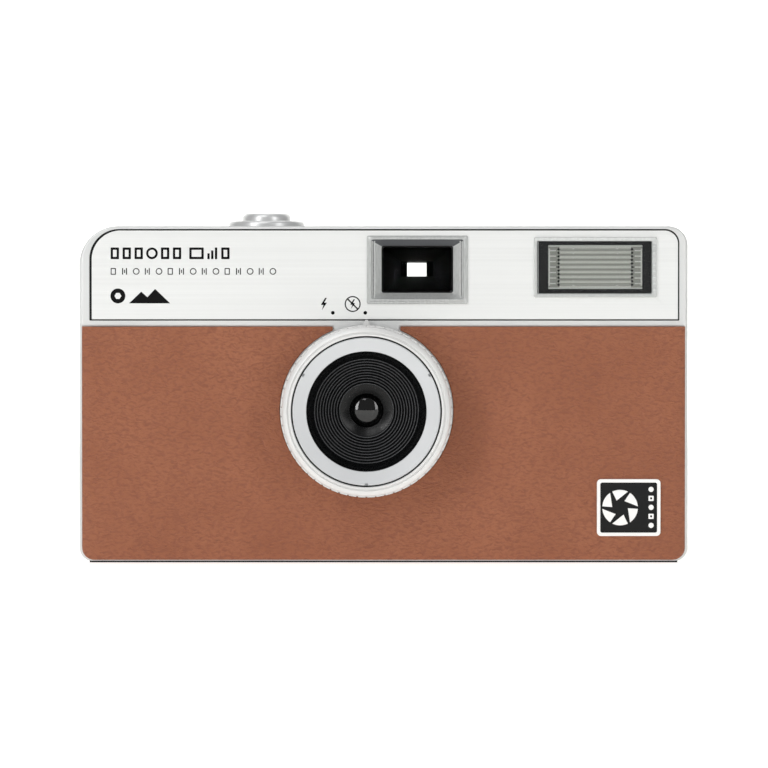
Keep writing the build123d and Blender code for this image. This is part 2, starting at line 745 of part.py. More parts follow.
with BuildPart() as button_collar:
    extrude(disc(level(BODY_HEIGHT), BUTTON_X, BUTTON_Y, COLLAR_RADIUS), amount=1.0)
    fillet(button_collar.faces().sort_by(Axis.Z)[-1].edges(), radius=0.6)
    extrude(disc(level(BODY_HEIGHT - 2.4), BUTTON_X, BUTTON_Y, 4.75), amount=2.4)
    extrude(
        disc(level(BODY_HEIGHT - 1.6), BUTTON_X, BUTTON_Y, BUTTON_RADIUS + 0.15),
        amount=3.0,
        mode=Mode.SUBTRACT,
    )
    extrude(disc(level(50.0), BUTTON_X, BUTTON_Y, 1.6), amount=10.0, mode=Mode.SUBTRACT)
save(button_collar.part, "button_collar")

with BuildPart() as shutter_button:
    extrude(disc(level(BODY_HEIGHT + 0.1), BUTTON_X, BUTTON_Y, BUTTON_RADIUS), amount=2.3)
    fillet(shutter_button.faces().sort_by(Axis.Z)[-1].edges(), radius=0.9)
    extrude(disc(level(BODY_HEIGHT - 3.6), BUTTON_X, BUTTON_Y, 1.5), amount=3.8)
save(shutter_button.part, "shutter_button")

with BuildPart() as button_stem:
    extrude(disc(level(50.8), BUTTON_X, BUTTON_Y, 1.5), amount=BODY_HEIGHT - 3.6 - 50.8)
    extrude(disc(level(56.2), BUTTON_X, BUTTON_Y, 2.6), amount=0.8)
    # nose that trips the shutter, below the chassis deck
    extrude(disc(level(47.6), BUTTON_X, BUTTON_Y, 1.3), amount=3.2)
save(button_stem.part, "button_stem")


def coil_spring(x, y, low, height, radius, turns, wire_radius):
    """Open coil spring standing on a level face, wire centre to wire centre in height."""
    with BuildPart() as spring:
        with BuildLine() as coil:
            Helix(pitch=height / turns, height=height, radius=radius, center=(x, y, low))
        with BuildSketch(Plane(origin=coil.line @ 0, z_dir=coil.line % 0)):
            Circle(wire_radius)
        sweep(path=coil.line)
    return spring.part


button_spring = coil_spring(BUTTON_X, BUTTON_Y, 50.5, 5.4, 2.1, 5, 0.2)
save(button_spring, "button_spring")

battery_spring = coil_spring(BATTERY_X, BATTERY_Y, 46.05, 2.8, 2.3, 3, 0.2)
save(battery_spring, "battery_spring")

# Chassis

DECK_TOP = DECK_Z + DECK_THICKNESS
CHASSIS_SIDE = 52.2
CHASSIS_FRONT_Y = -5.6
GATE_WIDTH = 18.0
GATE_HEIGHT = 24.0
SPOOL_CHAMBER_RADIUS = 10.9
CARTRIDGE_CHAMBER_RADIUS = 12.9
RAIL_LEVELS = [(13.6, 14.6), (40.2, 41.2)]
BED_LEFT = -16.5  # film bed between the two chambers
BED_RIGHT = 28.4

with BuildPart() as chassis:
    add(block(-CHASSIS_SIDE, CHASSIS_SIDE, CHASSIS_FRONT_Y, REAR_EDGE_Y, DECK_Z, DECK_TOP))
    add(block(-CHASSIS_SIDE, CHASSIS_SIDE, CHASSIS_FRONT_Y, REAR_EDGE_Y, WALL, FLOOR_Z))
    # chamber walls
    extrude(disc(level(WALL), SPOOL_X, SPOOL_Y, SPOOL_CHAMBER_RADIUS + 0.8), amount=DECK_Z - WALL)
    extrude(
        disc(level(WALL), CARTRIDGE_X, CARTRIDGE_Y, CARTRIDGE_CHAMBER_RADIUS + 0.8),
        amount=DECK_Z - WALL,
    )
    # film bed with its rails
    add(block(BED_LEFT, BED_RIGHT, 11.2, 12.8, 3.0, 48.0))
    for low, high in RAIL_LEVELS:
        add(block(BED_LEFT, BED_RIGHT, 12.8, FILM_Y, low, high))
    # light tunnel from the shutter to the film gate
    with BuildSketch(facing(SHUTTER_Y + 0.8)):
        with Locations((LENS_X, LENS_Z)):
            Rectangle(13.0, 13.0)
    with BuildSketch(facing(11.3)):
        with Locations((LENS_X, LENS_Z)):
            Rectangle(22.0, 28.0)
    loft()
    with BuildSketch(facing(SHUTTER_Y + 0.79)):
        with Locations((LENS_X, LENS_Z)):
            Rectangle(9.0, 9.0)
    with BuildSketch(facing(13.0)):
        with Locations((LENS_X, LENS_Z)):
            Rectangle(GATE_WIDTH, GATE_HEIGHT)
    loft(mode=Mode.SUBTRACT)
    # insides of the chambers
    extrude(
        disc(level(FLOOR_Z), SPOOL_X, SPOOL_Y, SPOOL_CHAMBER_RADIUS),
        amount=DECK_Z - FLOOR_Z,
        mode=Mode.SUBTRACT,
    )
    extrude(
        disc(level(FLOOR_Z), CARTRIDGE_X, CARTRIDGE_Y, CARTRIDGE_CHAMBER_RADIUS),
        amount=DECK_Z - FLOOR_Z,
        mode=Mode.SUBTRACT,
    )
    # chambers are open towards the door, and their rims stop short of it
    add(block(-60, BED_LEFT, REAR_EDGE_Y, 30, -1, 60), mode=Mode.SUBTRACT)
    add(block(BED_RIGHT, 60, REAR_EDGE_Y, 30, -1, 60), mode=Mode.SUBTRACT)
    add(block(-60, 60, -20, COVER_INNER_Y + 0.1, -1, 60), mode=Mode.SUBTRACT)
    add(block(-60, 60, REAR_EDGE_Y, 30, -1, 2.6), mode=Mode.SUBTRACT)
    add(block(-60, 60, REAR_EDGE_Y, 30, 48.2, 60), mode=Mode.SUBTRACT)
    # room for the sprocket, the viewfinder tunnel, the latch arm and the strap cup
    extrude(
        disc(level(FLOOR_Z), SPROCKET_X, SPROCKET_Y, 5.9),
        amount=DECK_Z - FLOOR_Z,
        mode=Mode.SUBTRACT,
    )
    add(block(-1.6, 13.8, -6.0, 7.6, 47.0, 51.0), mode=Mode.SUBTRACT)
    add(block(52.2, 54.0, 3.0, 13.0, 18.0, 36.0), mode=Mode.SUBTRACT)
    add(block(-54.0, -50.9, -2.5, 4.5, 43.5, 51.0), mode=Mode.SUBTRACT)
    # shaft holes in the deck and the floor
    for x, y, radius in (
        (SPOOL_X, SPOOL_Y, 2.07),
        (SPROCKET_X, SPROCKET_Y, 1.27),
        (BUTTON_X, BUTTON_Y, 1.6),
        (CARTRIDGE_X, CARTRIDGE_Y, 3.2),
    ):
        extrude(disc(level(DECK_Z - 1), x, y, radius), amount=3.0, mode=Mode.SUBTRACT)
    for x, y, radius in (
        (SPOOL_X, SPOOL_Y, 1.27),
        (SPROCKET_X, SPROCKET_Y, 1.27),
        (BATTERY_X, BATTERY_Y, 5.6),
    ):
        extrude(disc(level(0.0), x, y, radius), amount=FLOOR_Z + 1, mode=Mode.SUBTRACT)
    extrude(disc(level(0.0), SPROCKET_X, SPROCKET_Y, 2.7), amount=3.15, mode=Mode.SUBTRACT)
    for x, y in SCREW_PLACES:
        extrude(disc(level(0.0), x, y, SCREW_HOLE_RADIUS), amount=3.5, mode=Mode.SUBTRACT)
    # pegs that carry the circuit board
    for x, y in ((18.5, -0.5), (18.5, 10.5), (50.5, -0.5)):
        extrude(disc(level(DECK_TOP), x, y, 1.0), amount=BOARD_Z - DECK_TOP)
save(chassis.part, "chassis")

# Film transport

SPOOL_LOW_Z = 6.2
SPOOL_HIGH_Z = 48.4
WHEEL_RADIUS = 12.9
WHEEL_TEETH = 72
COUNTER_RADIUS = 8.5
COUNTER_MARKS = 40  # one notch for each frame on the disc
PERFORATION_HALF = 14.1  # from the film's centre line to each row of perforations
TOOTH_COUNT = 8

with BuildPart() as takeup_spool:
    extrude(disc(level(SPOOL_LOW_Z), SPOOL_X, SPOOL_Y, 5.5), amount=SPOOL_HIGH_Z - SPOOL_LOW_Z)
    for z in (SPOOL_LOW_Z, SPOOL_HIGH_Z - 0.8):
        extrude(disc(level(z), SPOOL_X, SPOOL_Y, 9.6), amount=0.8)
    # slots that catch the film leader
    with BuildSketch(level(12.0)):
        with Locations((SPOOL_X, SPOOL_Y)):
            with PolarLocations(4.9, 4):
                Rectangle(2.4, 1.1)
    extrude(amount=30.8, mode=Mode.SUBTRACT)
    extrude(disc(level(2.4), SPOOL_X, SPOOL_Y, 1.2), amount=SPOOL_LOW_Z - 2.4)
    extrude(disc(level(SPOOL_HIGH_Z), SPOOL_X, SPOOL_Y, 2.0), amount=WHEEL_Z[0] - SPOOL_HIGH_Z)
save(takeup_spool.part, "takeup_spool")

with BuildPart() as advance_wheel:
    extrude(disc(level(WHEEL_Z[0]), SPOOL_X, SPOOL_Y, WHEEL_RADIUS), amount=WHEEL_Z[1] - WHEEL_Z[0])
    with BuildSketch(level(WHEEL_Z[0] - 1)):
        with Locations((SPOOL_X, SPOOL_Y)):
            with PolarLocations(WHEEL_RADIUS, WHEEL_TEETH):
                Rectangle(0.7, 0.55)
    extrude(amount=6.0, mode=Mode.SUBTRACT)
save(advance_wheel.part, "advance_wheel")

with BuildPart() as sprocket_wheel:
    extrude(disc(level(5.2), SPROCKET_X, SPROCKET_Y, 3.4), amount=43.2)
    for side in (-1, 1):
        tooth_level = LENS_Z + side * PERFORATION_HALF
        extrude(disc(level(tooth_level - 1.3), SPROCKET_X, SPROCKET_Y, 4.75), amount=2.6)
        with BuildSketch(level(tooth_level - 0.8)):
            with Locations((SPROCKET_X, SPROCKET_Y)):
                with PolarLocations(4.9, TOOTH_COUNT):
                    Rectangle(1.1, 1.4)
        extrude(amount=1.6)
    extrude(disc(level(3.2), SPROCKET_X, SPROCKET_Y, 1.2), amount=2.0)
    extrude(disc(level(48.4), SPROCKET_X, SPROCKET_Y, 1.2), amount=2.2)
save(sprocket_wheel.part, "sprocket_wheel")

with BuildPart() as counter_disc:
    extrude(disc(level(57.5), SPOOL_X, SPOOL_Y, COUNTER_RADIUS), amount=0.6)
    with BuildSketch(level(57.0)):
        with Locations((SPOOL_X, SPOOL_Y)):
            Circle(COUNTER_POST_RADIUS + 0.07)
            with PolarLocations(COUNTER_RADIUS, COUNTER_MARKS):
                Rectangle(0.5, 0.5)
    extrude(amount=2.0, mode=Mode.SUBTRACT)
save(counter_disc.part, "counter_disc")

with BuildPart() as counter_screw:
    extrude(disc(level(56.8), SPOOL_X, SPOOL_Y, 2.2), amount=0.5)
save(counter_screw.part, "counter_screw")

with BuildPart() as counter_window:
    with BuildSketch(level(58.9)):
        with Locations((SPOOL_X, WINDOW_Y)):
            RectangleRounded(5.1, 4.1, 0.75)
    extrude(amount=1.6)
save(counter_window.part, "counter_window")

with BuildPart() as rewind_button:
    extrude(disc(level(0.25), SPROCKET_X, SPROCKET_Y, 1.95), amount=1.55)
    extrude(disc(level(WALL), SPROCKET_X, SPROCKET_Y, 2.4), amount=0.3)
    fillet(rewind_button.faces().sort_by(Axis.Z)[0].edges(), radius=0.3)
save(rewind_button.part, "rewind_button")

# Rewind knob

KNOB_RADIUS = 8.2
KNOB_LOW_Z = 57.6
KNOB_THICKNESS = 2.3
CRANK_PIN_X = CARTRIDGE_X + 1.8
CRANK_PIN_Z = 59.4
CRANK_LENGTH = 8.6
CRANK_PIN_RADIUS = 0.4

with BuildPart() as rewind_knob:
    extrude(disc(level(KNOB_LOW_Z), CARTRIDGE_X, CARTRIDGE_Y, KNOB_RADIUS), amount=KNOB_THICKNESS)
    # groove of the folded crank
    add(
        block(CARTRIDGE_X - 7.3, CARTRIDGE_X + 3.3, CARTRIDGE_Y - 1.8, CARTRIDGE_Y + 1.8, 58.4, 61),
        mode=Mode.SUBTRACT,
    )
    with BuildSketch(facing(CARTRIDGE_Y + 4.0)):
        with Locations((CRANK_PIN_X, CRANK_PIN_Z)):
            Circle(CRANK_PIN_RADIUS)
    extrude(amount=8.0, mode=Mode.SUBTRACT)
    with BuildSketch(level(KNOB_LOW_Z - 1)):
        with Locations((CARTRIDGE_X, CARTRIDGE_Y)):
            with PolarLocations(KNOB_RADIUS, 48):
                Rectangle(0.5, 0.5)
    extrude(amount=4.0, mode=Mode.SUBTRACT)
save(rewind_knob.part, "rewind_knob")

with BuildPart() as rewind_fork:
    extrude(disc(level(49.0), CARTRIDGE_X, CARTRIDGE_Y, 1.6), amount=KNOB_LOW_Z - 49.0)
    extrude(disc(level(45.8), CARTRIDGE_X, CARTRIDGE_Y, 2.6), amount=3.2)
    add(
        block(CARTRIDGE_X - 3, CARTRIDGE_X + 3, CARTRIDGE_Y - 0.8, CARTRIDGE_Y + 0.8, 45.0, 48.2),
        mode=Mode.SUBTRACT,
    )
save(rewind_fork.part, "rewind_fork")

with BuildPart() as rewind_sleeve:
    with BuildSketch(level(51.0)):
        with Locations((CARTRIDGE_X, CARTRIDGE_Y)):
            Circle(2.6)
            Circle(1.67, mode=Mode.SUBTRACT)
    extrude(amount=6.2)
save(rewind_sleeve.part, "rewind_sleeve")

with BuildPart() as rewind_crank:
    add(block(
        CRANK_PIN_X - CRANK_LENGTH, CRANK_PIN_X + 0.8,
        CARTRIDGE_Y - 1.5, CARTRIDGE_Y + 1.5, CRANK_PIN_Z - 0.5, CRANK_PIN_Z + 0.5,
    ))
    fillet(rewind_crank.edges().filter_by(Axis.Z).sort_by(Axis.X)[:2], radius=1.4)
    # eye around the pin
    extrude(disc(facing(CARTRIDGE_Y + 1.5), CRANK_PIN_X, CRANK_PIN_Z, 0.8), amount=3.0)
    extrude(
        disc(facing(CARTRIDGE_Y + 4.0), CRANK_PIN_X, CRANK_PIN_Z, CRANK_PIN_RADIUS + 0.06),
        amount=8.0,
        mode=Mode.SUBTRACT,
    )
save(rewind_crank.part, "rewind_crank")

with BuildPart() as crank_pin:
    with BuildSketch(facing(CARTRIDGE_Y + 2.6)):
        with Locations((CRANK_PIN_X, CRANK_PIN_Z)):
            Circle(CRANK_PIN_RADIUS)
    extrude(amount=5.2)
save(crank_pin.part, "crank_pin")

with BuildPart() as crank_grip:
    extrude(
        disc(level(CRANK_PIN_Z + 0.5), CRANK_PIN_X - CRANK_LENGTH + 1.9, CARTRIDGE_Y, 1.7),
        amount=0.6,
    )
save(crank_grip.part, "crank_grip")

# Back door

DOOR_LEFT = -51.7
DOOR_FRONT_Y = REAR_EDGE_Y + GAP
DOOR_WALL = 1.6
LEATHER_DEPTH = 0.5
DOOR_LEATHER_CENTRE = (1.4, 25.0)
DOOR_LEATHER_SIZE = (101.0, 45.0)

with BuildPart() as back_door:
    extrude(
        outline(
            facing(DOOR_FRONT_Y),
            left=DOOR_LEFT,
            right=BODY_WIDTH / 2,
            bottom=0.3,
            top=DOOR_TOP_Z,
            radii=[0.5, 2.4, 0.1, 0.1],
        ),
        amount=DOOR_FRONT_Y - BACK_Y,
    )
    door_edges = back_door.faces().sort_by(Axis.Y)[-1].edges()
    fillet(door_edges.filter_by(lambda e: e.center().X > 54 or e.center().Z < 4), radius=1.0)
    extrude(
        outline(
            facing(DOOR_FRONT_Y),
            left=DOOR_LEFT + DOOR_WALL,
            right=BODY_WIDTH / 2 - DOOR_WALL,
            bottom=0.3 + DOOR_WALL,
            top=DOOR_TOP_Z - DOOR_WALL,
            radii=[0.5, 1.0, 0.5, 0.5],
        ),
        amount=DOOR_FRONT_Y - BACK_Y + DOOR_WALL,
        mode=Mode.SUBTRACT,
    )
    # shallow bed of the leather
    with BuildSketch(facing(BACK_Y + 1)):
        with Locations(DOOR_LEATHER_CENTRE):
            RectangleRounded(DOOR_LEATHER_SIZE[0] + 0.2, DOOR_LEATHER_SIZE[1] + 0.2, 1.6)
    extrude(amount=1 + LEATHER_DEPTH, mode=Mode.SUBTRACT)
    # knuckles
    for low, high in DOOR_KNUCKLE_SPANS:
        extrude(disc(level(low), HINGE_X, HINGE_Y, KNUCKLE_RADIUS), amount=high - low)
        add(block(HINGE_X, DOOR_LEFT + 0.5, HINGE_Y - 1.0, HINGE_Y + 1.0, low, high))
        extrude(disc(level(low), HINGE_X, HINGE_Y, 0.75), amount=high - low, mode=Mode.SUBTRACT)
    # keeper of the latch
    add(block(52.2, 53.6, 12.7, 13.3, LATCH_Z - 1.6, LATCH_Z + 0.4))
save(back_door.part, "back_door")

with BuildPart() as door_leather:
    with BuildSketch(facing(BACK_Y - LEATHER_DEPTH)):
        with Locations(DOOR_LEATHER_CENTRE):
            RectangleRounded(*DOOR_LEATHER_SIZE, 1.5)
    extrude(amount=-LEATHER_DEPTH - 0.2)
    fillet(door_leather.faces().sort_by(Axis.Y)[-1].edges(), radius=0.15)
save(door_leather.part, "door_leather")

with BuildPart() as door_hinge_pin:
    extrude(disc(level(2.6), HINGE_X, HINGE_Y, 0.68), amount=44.8)
save(door_hinge_pin.part, "door_hinge_pin")

with BuildPart() as pressure_plate:
    with BuildSketch(facing(FILM_Y + 0.3)):
        with Locations((LENS_X, LENS_Z)):
            RectangleRounded(30.0, 34.0, 2.0)
    extrude(amount=-0.6)
save(pressure_plate.part, "pressure_plate")

with BuildPart() as pressure_spring:
    with BuildSketch(level(LENS_Z - 4)):
        with BuildLine():
            ThreePointArc((LENS_X - 12, 15.1), (LENS_X, BACK_Y - DOOR_WALL), (LENS_X + 12, 15.1))
            Line((LENS_X + 12, 15.1), (LENS_X + 12, 14.85))
            ThreePointArc((LENS_X + 12, 14.85), (LENS_X, 17.1), (LENS_X - 12, 14.85))
            Line((LENS_X - 12, 14.85), (LENS_X - 12, 15.1))
        make_face()
    extrude(amount=8.0)
save(pressure_spring.part, "pressure_spring")

with BuildPart() as door_latch:
    # thumb pad
    add(block(54.1, 54.9, 3.4, 8.6, LATCH_Z, LATCH_Z + 9))
    for z in range(4):
        add(
            block(54.6, 55.5, 3.0, 9.0, LATCH_Z + 1.5 + 1.8 * z, LATCH_Z + 2.1 + 1.8 * z),
            mode=Mode.SUBTRACT,
        )
    # arm with its hook
    add(block(52.35, 54.2, 4.7, 7.3, LATCH_Z + 1.6, LATCH_Z + 5.2))
    add(block(52.35, 53.05, 4.7, 14.4, LATCH_Z + 1.6, LATCH_Z + 5.2))
    add(block(52.35, 53.05, 13.6, 14.4, LATCH_Z + 0.6, LATCH_Z + 1.8))
save(door_latch.part, "door_latch")

with BuildPart() as light_seals:
    add(block(-49.8, 50.0, REAR_EDGE_Y, REAR_EDGE_Y + 0.25, 49.5, 50.1))
    add(block(-49.8, 50.0, REAR_EDGE_Y, REAR_EDGE_Y + 0.25, 0.6, 1.6))
save(light_seals.part, "light_seals")

with BuildPart() as strap_cup:
    add(block(-54.9, -51.2, -1.95, 3.95, 44.05, 52.5))
    add(block(-56.0, -51.8, -1.35, 3.35, 44.65, 51.9), mode=Mode.SUBTRACT)
    extrude(disc(level(44.3), -54.1, 1.0, 0.7), amount=7.9)
save(strap_cup.part, "strap_cup")

with BuildPart() as ready_lamp:
    extrude(disc(facing(BACK_Y + 0.2), LAMP_X, LAMP_Z, 1.4), amount=2.4)
save(ready_lamp.part, "ready_lamp")

with BuildPart() as cover_screws:
    for x, y in SCREW_PLACES:
        extrude(disc(level(0.1), x, y, 1.5), amount=0.8)
        extrude(disc(level(0.9), x, y, 0.8), amount=2.5)
        with BuildSketch(level(0.0)):
            with Locations((x, y)):
                Rectangle(1.7, 0.35)
                Rectangle(0.35, 1.7)
        extrude(amount=0.5, mode=Mode.SUBTRACT)
save(cover_screws.part, "cover_screws")
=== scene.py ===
import bpy
import bmesh
import json
import math
from mathutils import Matrix, Vector

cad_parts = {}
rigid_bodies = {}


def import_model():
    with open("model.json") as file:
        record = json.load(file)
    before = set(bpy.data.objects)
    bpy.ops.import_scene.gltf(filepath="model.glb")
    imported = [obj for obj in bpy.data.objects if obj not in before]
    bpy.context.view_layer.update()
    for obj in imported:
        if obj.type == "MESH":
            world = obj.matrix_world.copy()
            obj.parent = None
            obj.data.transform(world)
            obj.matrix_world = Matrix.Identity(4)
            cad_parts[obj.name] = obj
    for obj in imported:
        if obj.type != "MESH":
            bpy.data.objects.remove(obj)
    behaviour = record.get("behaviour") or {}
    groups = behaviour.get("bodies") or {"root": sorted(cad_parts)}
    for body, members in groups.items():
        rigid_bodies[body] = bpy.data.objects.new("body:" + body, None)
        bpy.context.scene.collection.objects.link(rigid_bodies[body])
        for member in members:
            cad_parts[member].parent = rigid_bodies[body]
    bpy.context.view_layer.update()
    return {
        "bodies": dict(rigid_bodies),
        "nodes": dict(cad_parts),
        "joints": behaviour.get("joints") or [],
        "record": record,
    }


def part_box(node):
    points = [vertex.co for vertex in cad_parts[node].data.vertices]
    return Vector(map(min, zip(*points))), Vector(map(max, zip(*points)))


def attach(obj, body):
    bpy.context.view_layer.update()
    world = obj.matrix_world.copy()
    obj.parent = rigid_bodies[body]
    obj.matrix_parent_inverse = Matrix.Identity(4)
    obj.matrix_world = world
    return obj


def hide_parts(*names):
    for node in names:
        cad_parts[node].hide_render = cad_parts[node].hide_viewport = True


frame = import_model()
nodes = frame["nodes"]
joints = {joint["name"]: joint for joint in frame["joints"]}
mm = 0.001
print("frame loaded:", len(nodes), "nodes")

# the lens axis runs along Y through the ring's joint
lensX, _, lensZ = joints["ring_turn"]["pos_m"]


# Small tools

def hexColour(code):
    channels = [int(code[i:i + 2], 16) / 255 for i in (1, 3, 5)]
    linear = [c / 12.92 if c <= 0.04045 else ((c + 0.055) / 1.055) ** 2.4 for c in channels]
    return (*linear, 1.0)


def addNode(tree, kind, inputs=None, **settings):
    node = tree.nodes.new(kind)
    for key, value in settings.items():
        setattr(node, key, value)
    for key, value in (inputs or {}).items():
        if isinstance(value, bpy.types.NodeSocket):
            tree.links.new(value, node.inputs[key])
        else:
            node.inputs[key].default_value = value
    return node


def newMaterial(name, colour, roughness, metallic=0.0, **extra):
    material = bpy.data.materials.new(name)
    material.use_nodes = True
    tree = material.node_tree
    shader = tree.nodes["Principled BSDF"]
    shader.inputs["Base Color"].default_value = hexColour(colour)
    shader.inputs["Roughness"].default_value = roughness
    shader.inputs["Metallic"].default_value = metallic
    for key, value in extra.items():
        shader.inputs[key.replace("_", " ")].default_value = value
    return material, tree, shader


def objectSpace(tree, scale=(1, 1, 1), turn=(0, 0, 0), centre=(0, 0, 0)):
    place = addNode(tree, "ShaderNodeTexCoord")
    mapping = addNode(tree, "ShaderNodeMapping", {"Vector": place.outputs["Object"],
                                                 "Location": centre, "Rotation": turn, "Scale": scale})
    return mapping.outputs["Vector"]


def ramp(tree, factor, stops):
    node = addNode(tree, "ShaderNodeValToRGB", {"Fac": factor})
    elements = node.color_ramp.elements
    for i, (place, colour) in enumerate(stops):
        element = elements[i] if i < 2 else elements.new(place)
        element.position = place
        element.color = hexColour(colour)
    return node.outputs["Color"]


def bump(tree, shader, height, strength, distance, below=None):
    inputs = {"Height": height, "Strength": strength, "Distance": distance}
    if below is not None:
        inputs["Normal"] = below
    node = addNode(tree, "ShaderNodeBump", inputs)
    tree.links.new(node.outputs["Normal"], shader.inputs["Normal"])
    return node.outputs["Normal"]


def newPiece(name, mesh):
    piece = bpy.data.objects.new(name, mesh)
    bpy.context.scene.collection.objects.link(piece)
    return piece


def bakeModifiers(piece):
    graph = bpy.context.evaluated_depsgraph_get()
    mesh = bpy.data.meshes.new_from_object(piece.evaluated_get(graph))
    piece.modifiers.clear()
    piece.data = mesh
    return piece


def finishPiece(piece, body, material, replaced=(), smoothAngle=35):
    piece.data.materials.clear()
    piece.data.materials.append(material)
    piece.data.shade_smooth()
    piece.data.set_sharp_from_angle(angle=math.radians(smoothAngle))
    weighted = piece.modifiers.new("Weighted Normal", "WEIGHTED_NORMAL")
    weighted.keep_sharp = True
    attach(piece, body)
    if replaced:
        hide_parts(*replaced)
    return piece


def roundedLoop(left, right, bottom, top, radii, steps=10):
    # corners from bottom left anticlockwise, in metres
    centres = [(left, bottom, 180), (right, bottom, 270), (right, top, 0), (left, top, 90)]
    inward = [(1, 1), (-1, 1), (-1, -1), (1, -1)]
    loop = []
    for (x, z, start), (ix, iz), radius in zip(centres, inward, radii):
        cx, cz = x + ix * radius, z + iz * radius
        for i in range(steps + 1 if radius > 0 else 1):
            angle = math.radians(start + 90 * i / steps)
            loop.append((cx + radius * math.cos(angle), cz + radius * math.sin(angle)))
    return loop


def circleLoop(x, z, radius, steps=96):
    turn = 2 * math.pi / steps
    return [(x + radius * math.cos(turn * i), z + radius * math.sin(turn * i)) for i in range(steps)]


def cutPlate(name, loops, yFront, yBack, edgeRound, edgeSteps=3, pillow=1.0):
    # a plate facing -Y with rounded edges; later loops are holes; pillow flattens the rounding
    curve = bpy.data.curves.new(name, "CURVE")
    curve.dimensions = "2D"
    curve.fill_mode = "BOTH"
    depth = abs(yBack - yFront) / 2 / pillow
    curve.extrude = max(depth - edgeRound, 0.0)
    curve.bevel_depth = edgeRound
    curve.bevel_resolution = edgeSteps
    curve.offset = -edgeRound
    for loop in loops:
        spline = curve.splines.new("POLY")
        spline.points.add(len(loop) - 1)
        for point, (x, z) in zip(spline.points, loop):
            point.co = (x, z, 0, 1)
        spline.use_cyclic_u = True
    holder = newPiece(name, curve)
    graph = bpy.context.evaluated_depsgraph_get()
    mesh = bpy.data.meshes.new_from_object(holder.evaluated_get(graph))
    bpy.data.objects.remove(holder)
    toFront = Matrix(((1, 0, 0, 0), (0, 0, -pillow, (yFront + yBack) / 2), (0, 1, 0, 0), (0, 0, 0, 1)))
    mesh.transform(toFront)
    joinSeams(mesh)
    return newPiece(name, mesh)


def joinSeams(mesh, reach=2e-6):
    work = bmesh.new()
    work.from_mesh(mesh)
    bmesh.ops.remove_doubles(work, verts=work.verts, dist=reach)
    bmesh.ops.recalc_face_normals(work, faces=work.faces)
    work.to_mesh(mesh)
    work.free()


def turnedPiece(name, profile, steps=192, closed=True, centre=(lensX, lensZ)):
    # turns a (radius, y) section about an axis along Y
    work = bmesh.new()
    rings = []
    for radius, y in profile:
        if radius < 1e-7:
            rings.append([work.verts.new((centre[0], y, centre[1]))] * steps)
            continue
        rings.append([work.verts.new((centre[0] + radius * math.cos(2 * math.pi * i / steps), y,
                                      centre[1] + radius * math.sin(2 * math.pi * i / steps)))
                      for i in range(steps)])
    pairs = list(zip(rings, rings[1:]))
    if closed:
        pairs.append((rings[-1], rings[0]))
    for a, b in pairs:
        for i in range(steps):
            corners = [a[i], a[(i + 1) % steps], b[(i + 1) % steps], b[i]]
            corners = list(dict.fromkeys(corners))
            if len(corners) > 2:
                work.faces.new(corners)
    bmesh.ops.recalc_face_normals(work, faces=work.faces)
    mesh = bpy.data.meshes.new(name)
    work.to_mesh(mesh)
    work.free()
    return newPiece(name, mesh)


def boxPiece(name, low, high, edgeRound, edgeSteps=2):
    work = bmesh.new()
    bmesh.ops.create_cube(work, size=1.0)
    for vert in work.verts:
        vert.co = Vector([low[i] + (vert.co[i] + 0.5) * (high[i] - low[i]) for i in range(3)])
    if edgeRound:
        bmesh.ops.bevel(work, geom=work.edges[:], offset=edgeRound, segments=edgeSteps, profile=0.5,
                        affect="EDGES")
    mesh = bpy.data.meshes.new(name)
    work.to_mesh(mesh)
    work.free()
    return newPiece(name, mesh)


def joinPieces(name, pieces):
    # one mesh from several, each keeping its own surface
    work = bmesh.new()
    for piece in pieces:
        work.from_mesh(piece.data)
        bpy.data.objects.remove(piece)
    mesh = bpy.data.meshes.new(name)
    work.to_mesh(mesh)
    work.free()
    return newPiece(name, mesh)


def prism(name, loop, yFront, yBack):
    work = bmesh.new()
    face = work.faces.new([work.verts.new((x, yFront, z)) for x, z in loop])
    made = bmesh.ops.extrude_face_region(work, geom=[face])
    for vert in made["geom"]:
        if isinstance(vert, bmesh.types.BMVert):
            vert.co.y = yBack
    bmesh.ops.recalc_face_normals(work, faces=work.faces)
    mesh = bpy.data.meshes.new(name)
    work.to_mesh(mesh)
    work.free()
    return newPiece(name, mesh)


def subtract(piece, cutter):
    cut = piece.modifiers.new("cut", "BOOLEAN")
    cut.operation = "DIFFERENCE"
    cut.solver = "EXACT"
    cut.object = cutter
    bakeModifiers(piece)
    bpy.data.objects.remove(cutter)
    return piece


def roundFrontEdges(piece, yFront, width, keep):
    # rounds the front edges that a test picks out
    work = bmesh.new()
    work.from_mesh(piece.data)
    bmesh.ops.remove_doubles(work, verts=work.verts, dist=1e-6)
    chosen = [edge for edge in work.edges
              if all(abs(vert.co.y - yFront) < 2e-6 and keep(vert.co) for vert in edge.verts)
              and len(edge.link_faces) == 2
              and edge.calc_face_angle(0.0) > math.radians(50)]
    bmesh.ops.bevel(work, geom=chosen, offset=width, segments=3, profile=0.5, affect="EDGES")
    bmesh.ops.recalc_face_normals(work, faces=work.faces)
    work.to_mesh(piece.data)
    work.free()


def softenEdges(piece, width, steps=2):
    work = bmesh.new()
    work.from_mesh(piece.data)
    bmesh.ops.bevel(work, geom=work.edges[:], offset=width, segments=steps, profile=0.5, affect="EDGES")
    work.to_mesh(piece.data)
    work.free()


def standingPiece(name, profile, centre, steps=128, closed=True):
    # turns a (radius, z) section about an upright axis
    piece = turnedPiece(name, [(radius, -z) for radius, z in profile], steps, closed, (0.0, 0.0))
    piece.data.transform(Matrix(((1, 0, 0, centre[0]), (0, 0, 1, centre[1]), (0, -1, 0, 0), (0, 0, 0, 1))))
    joinSeams(piece.data, 1e-7)
    return piece


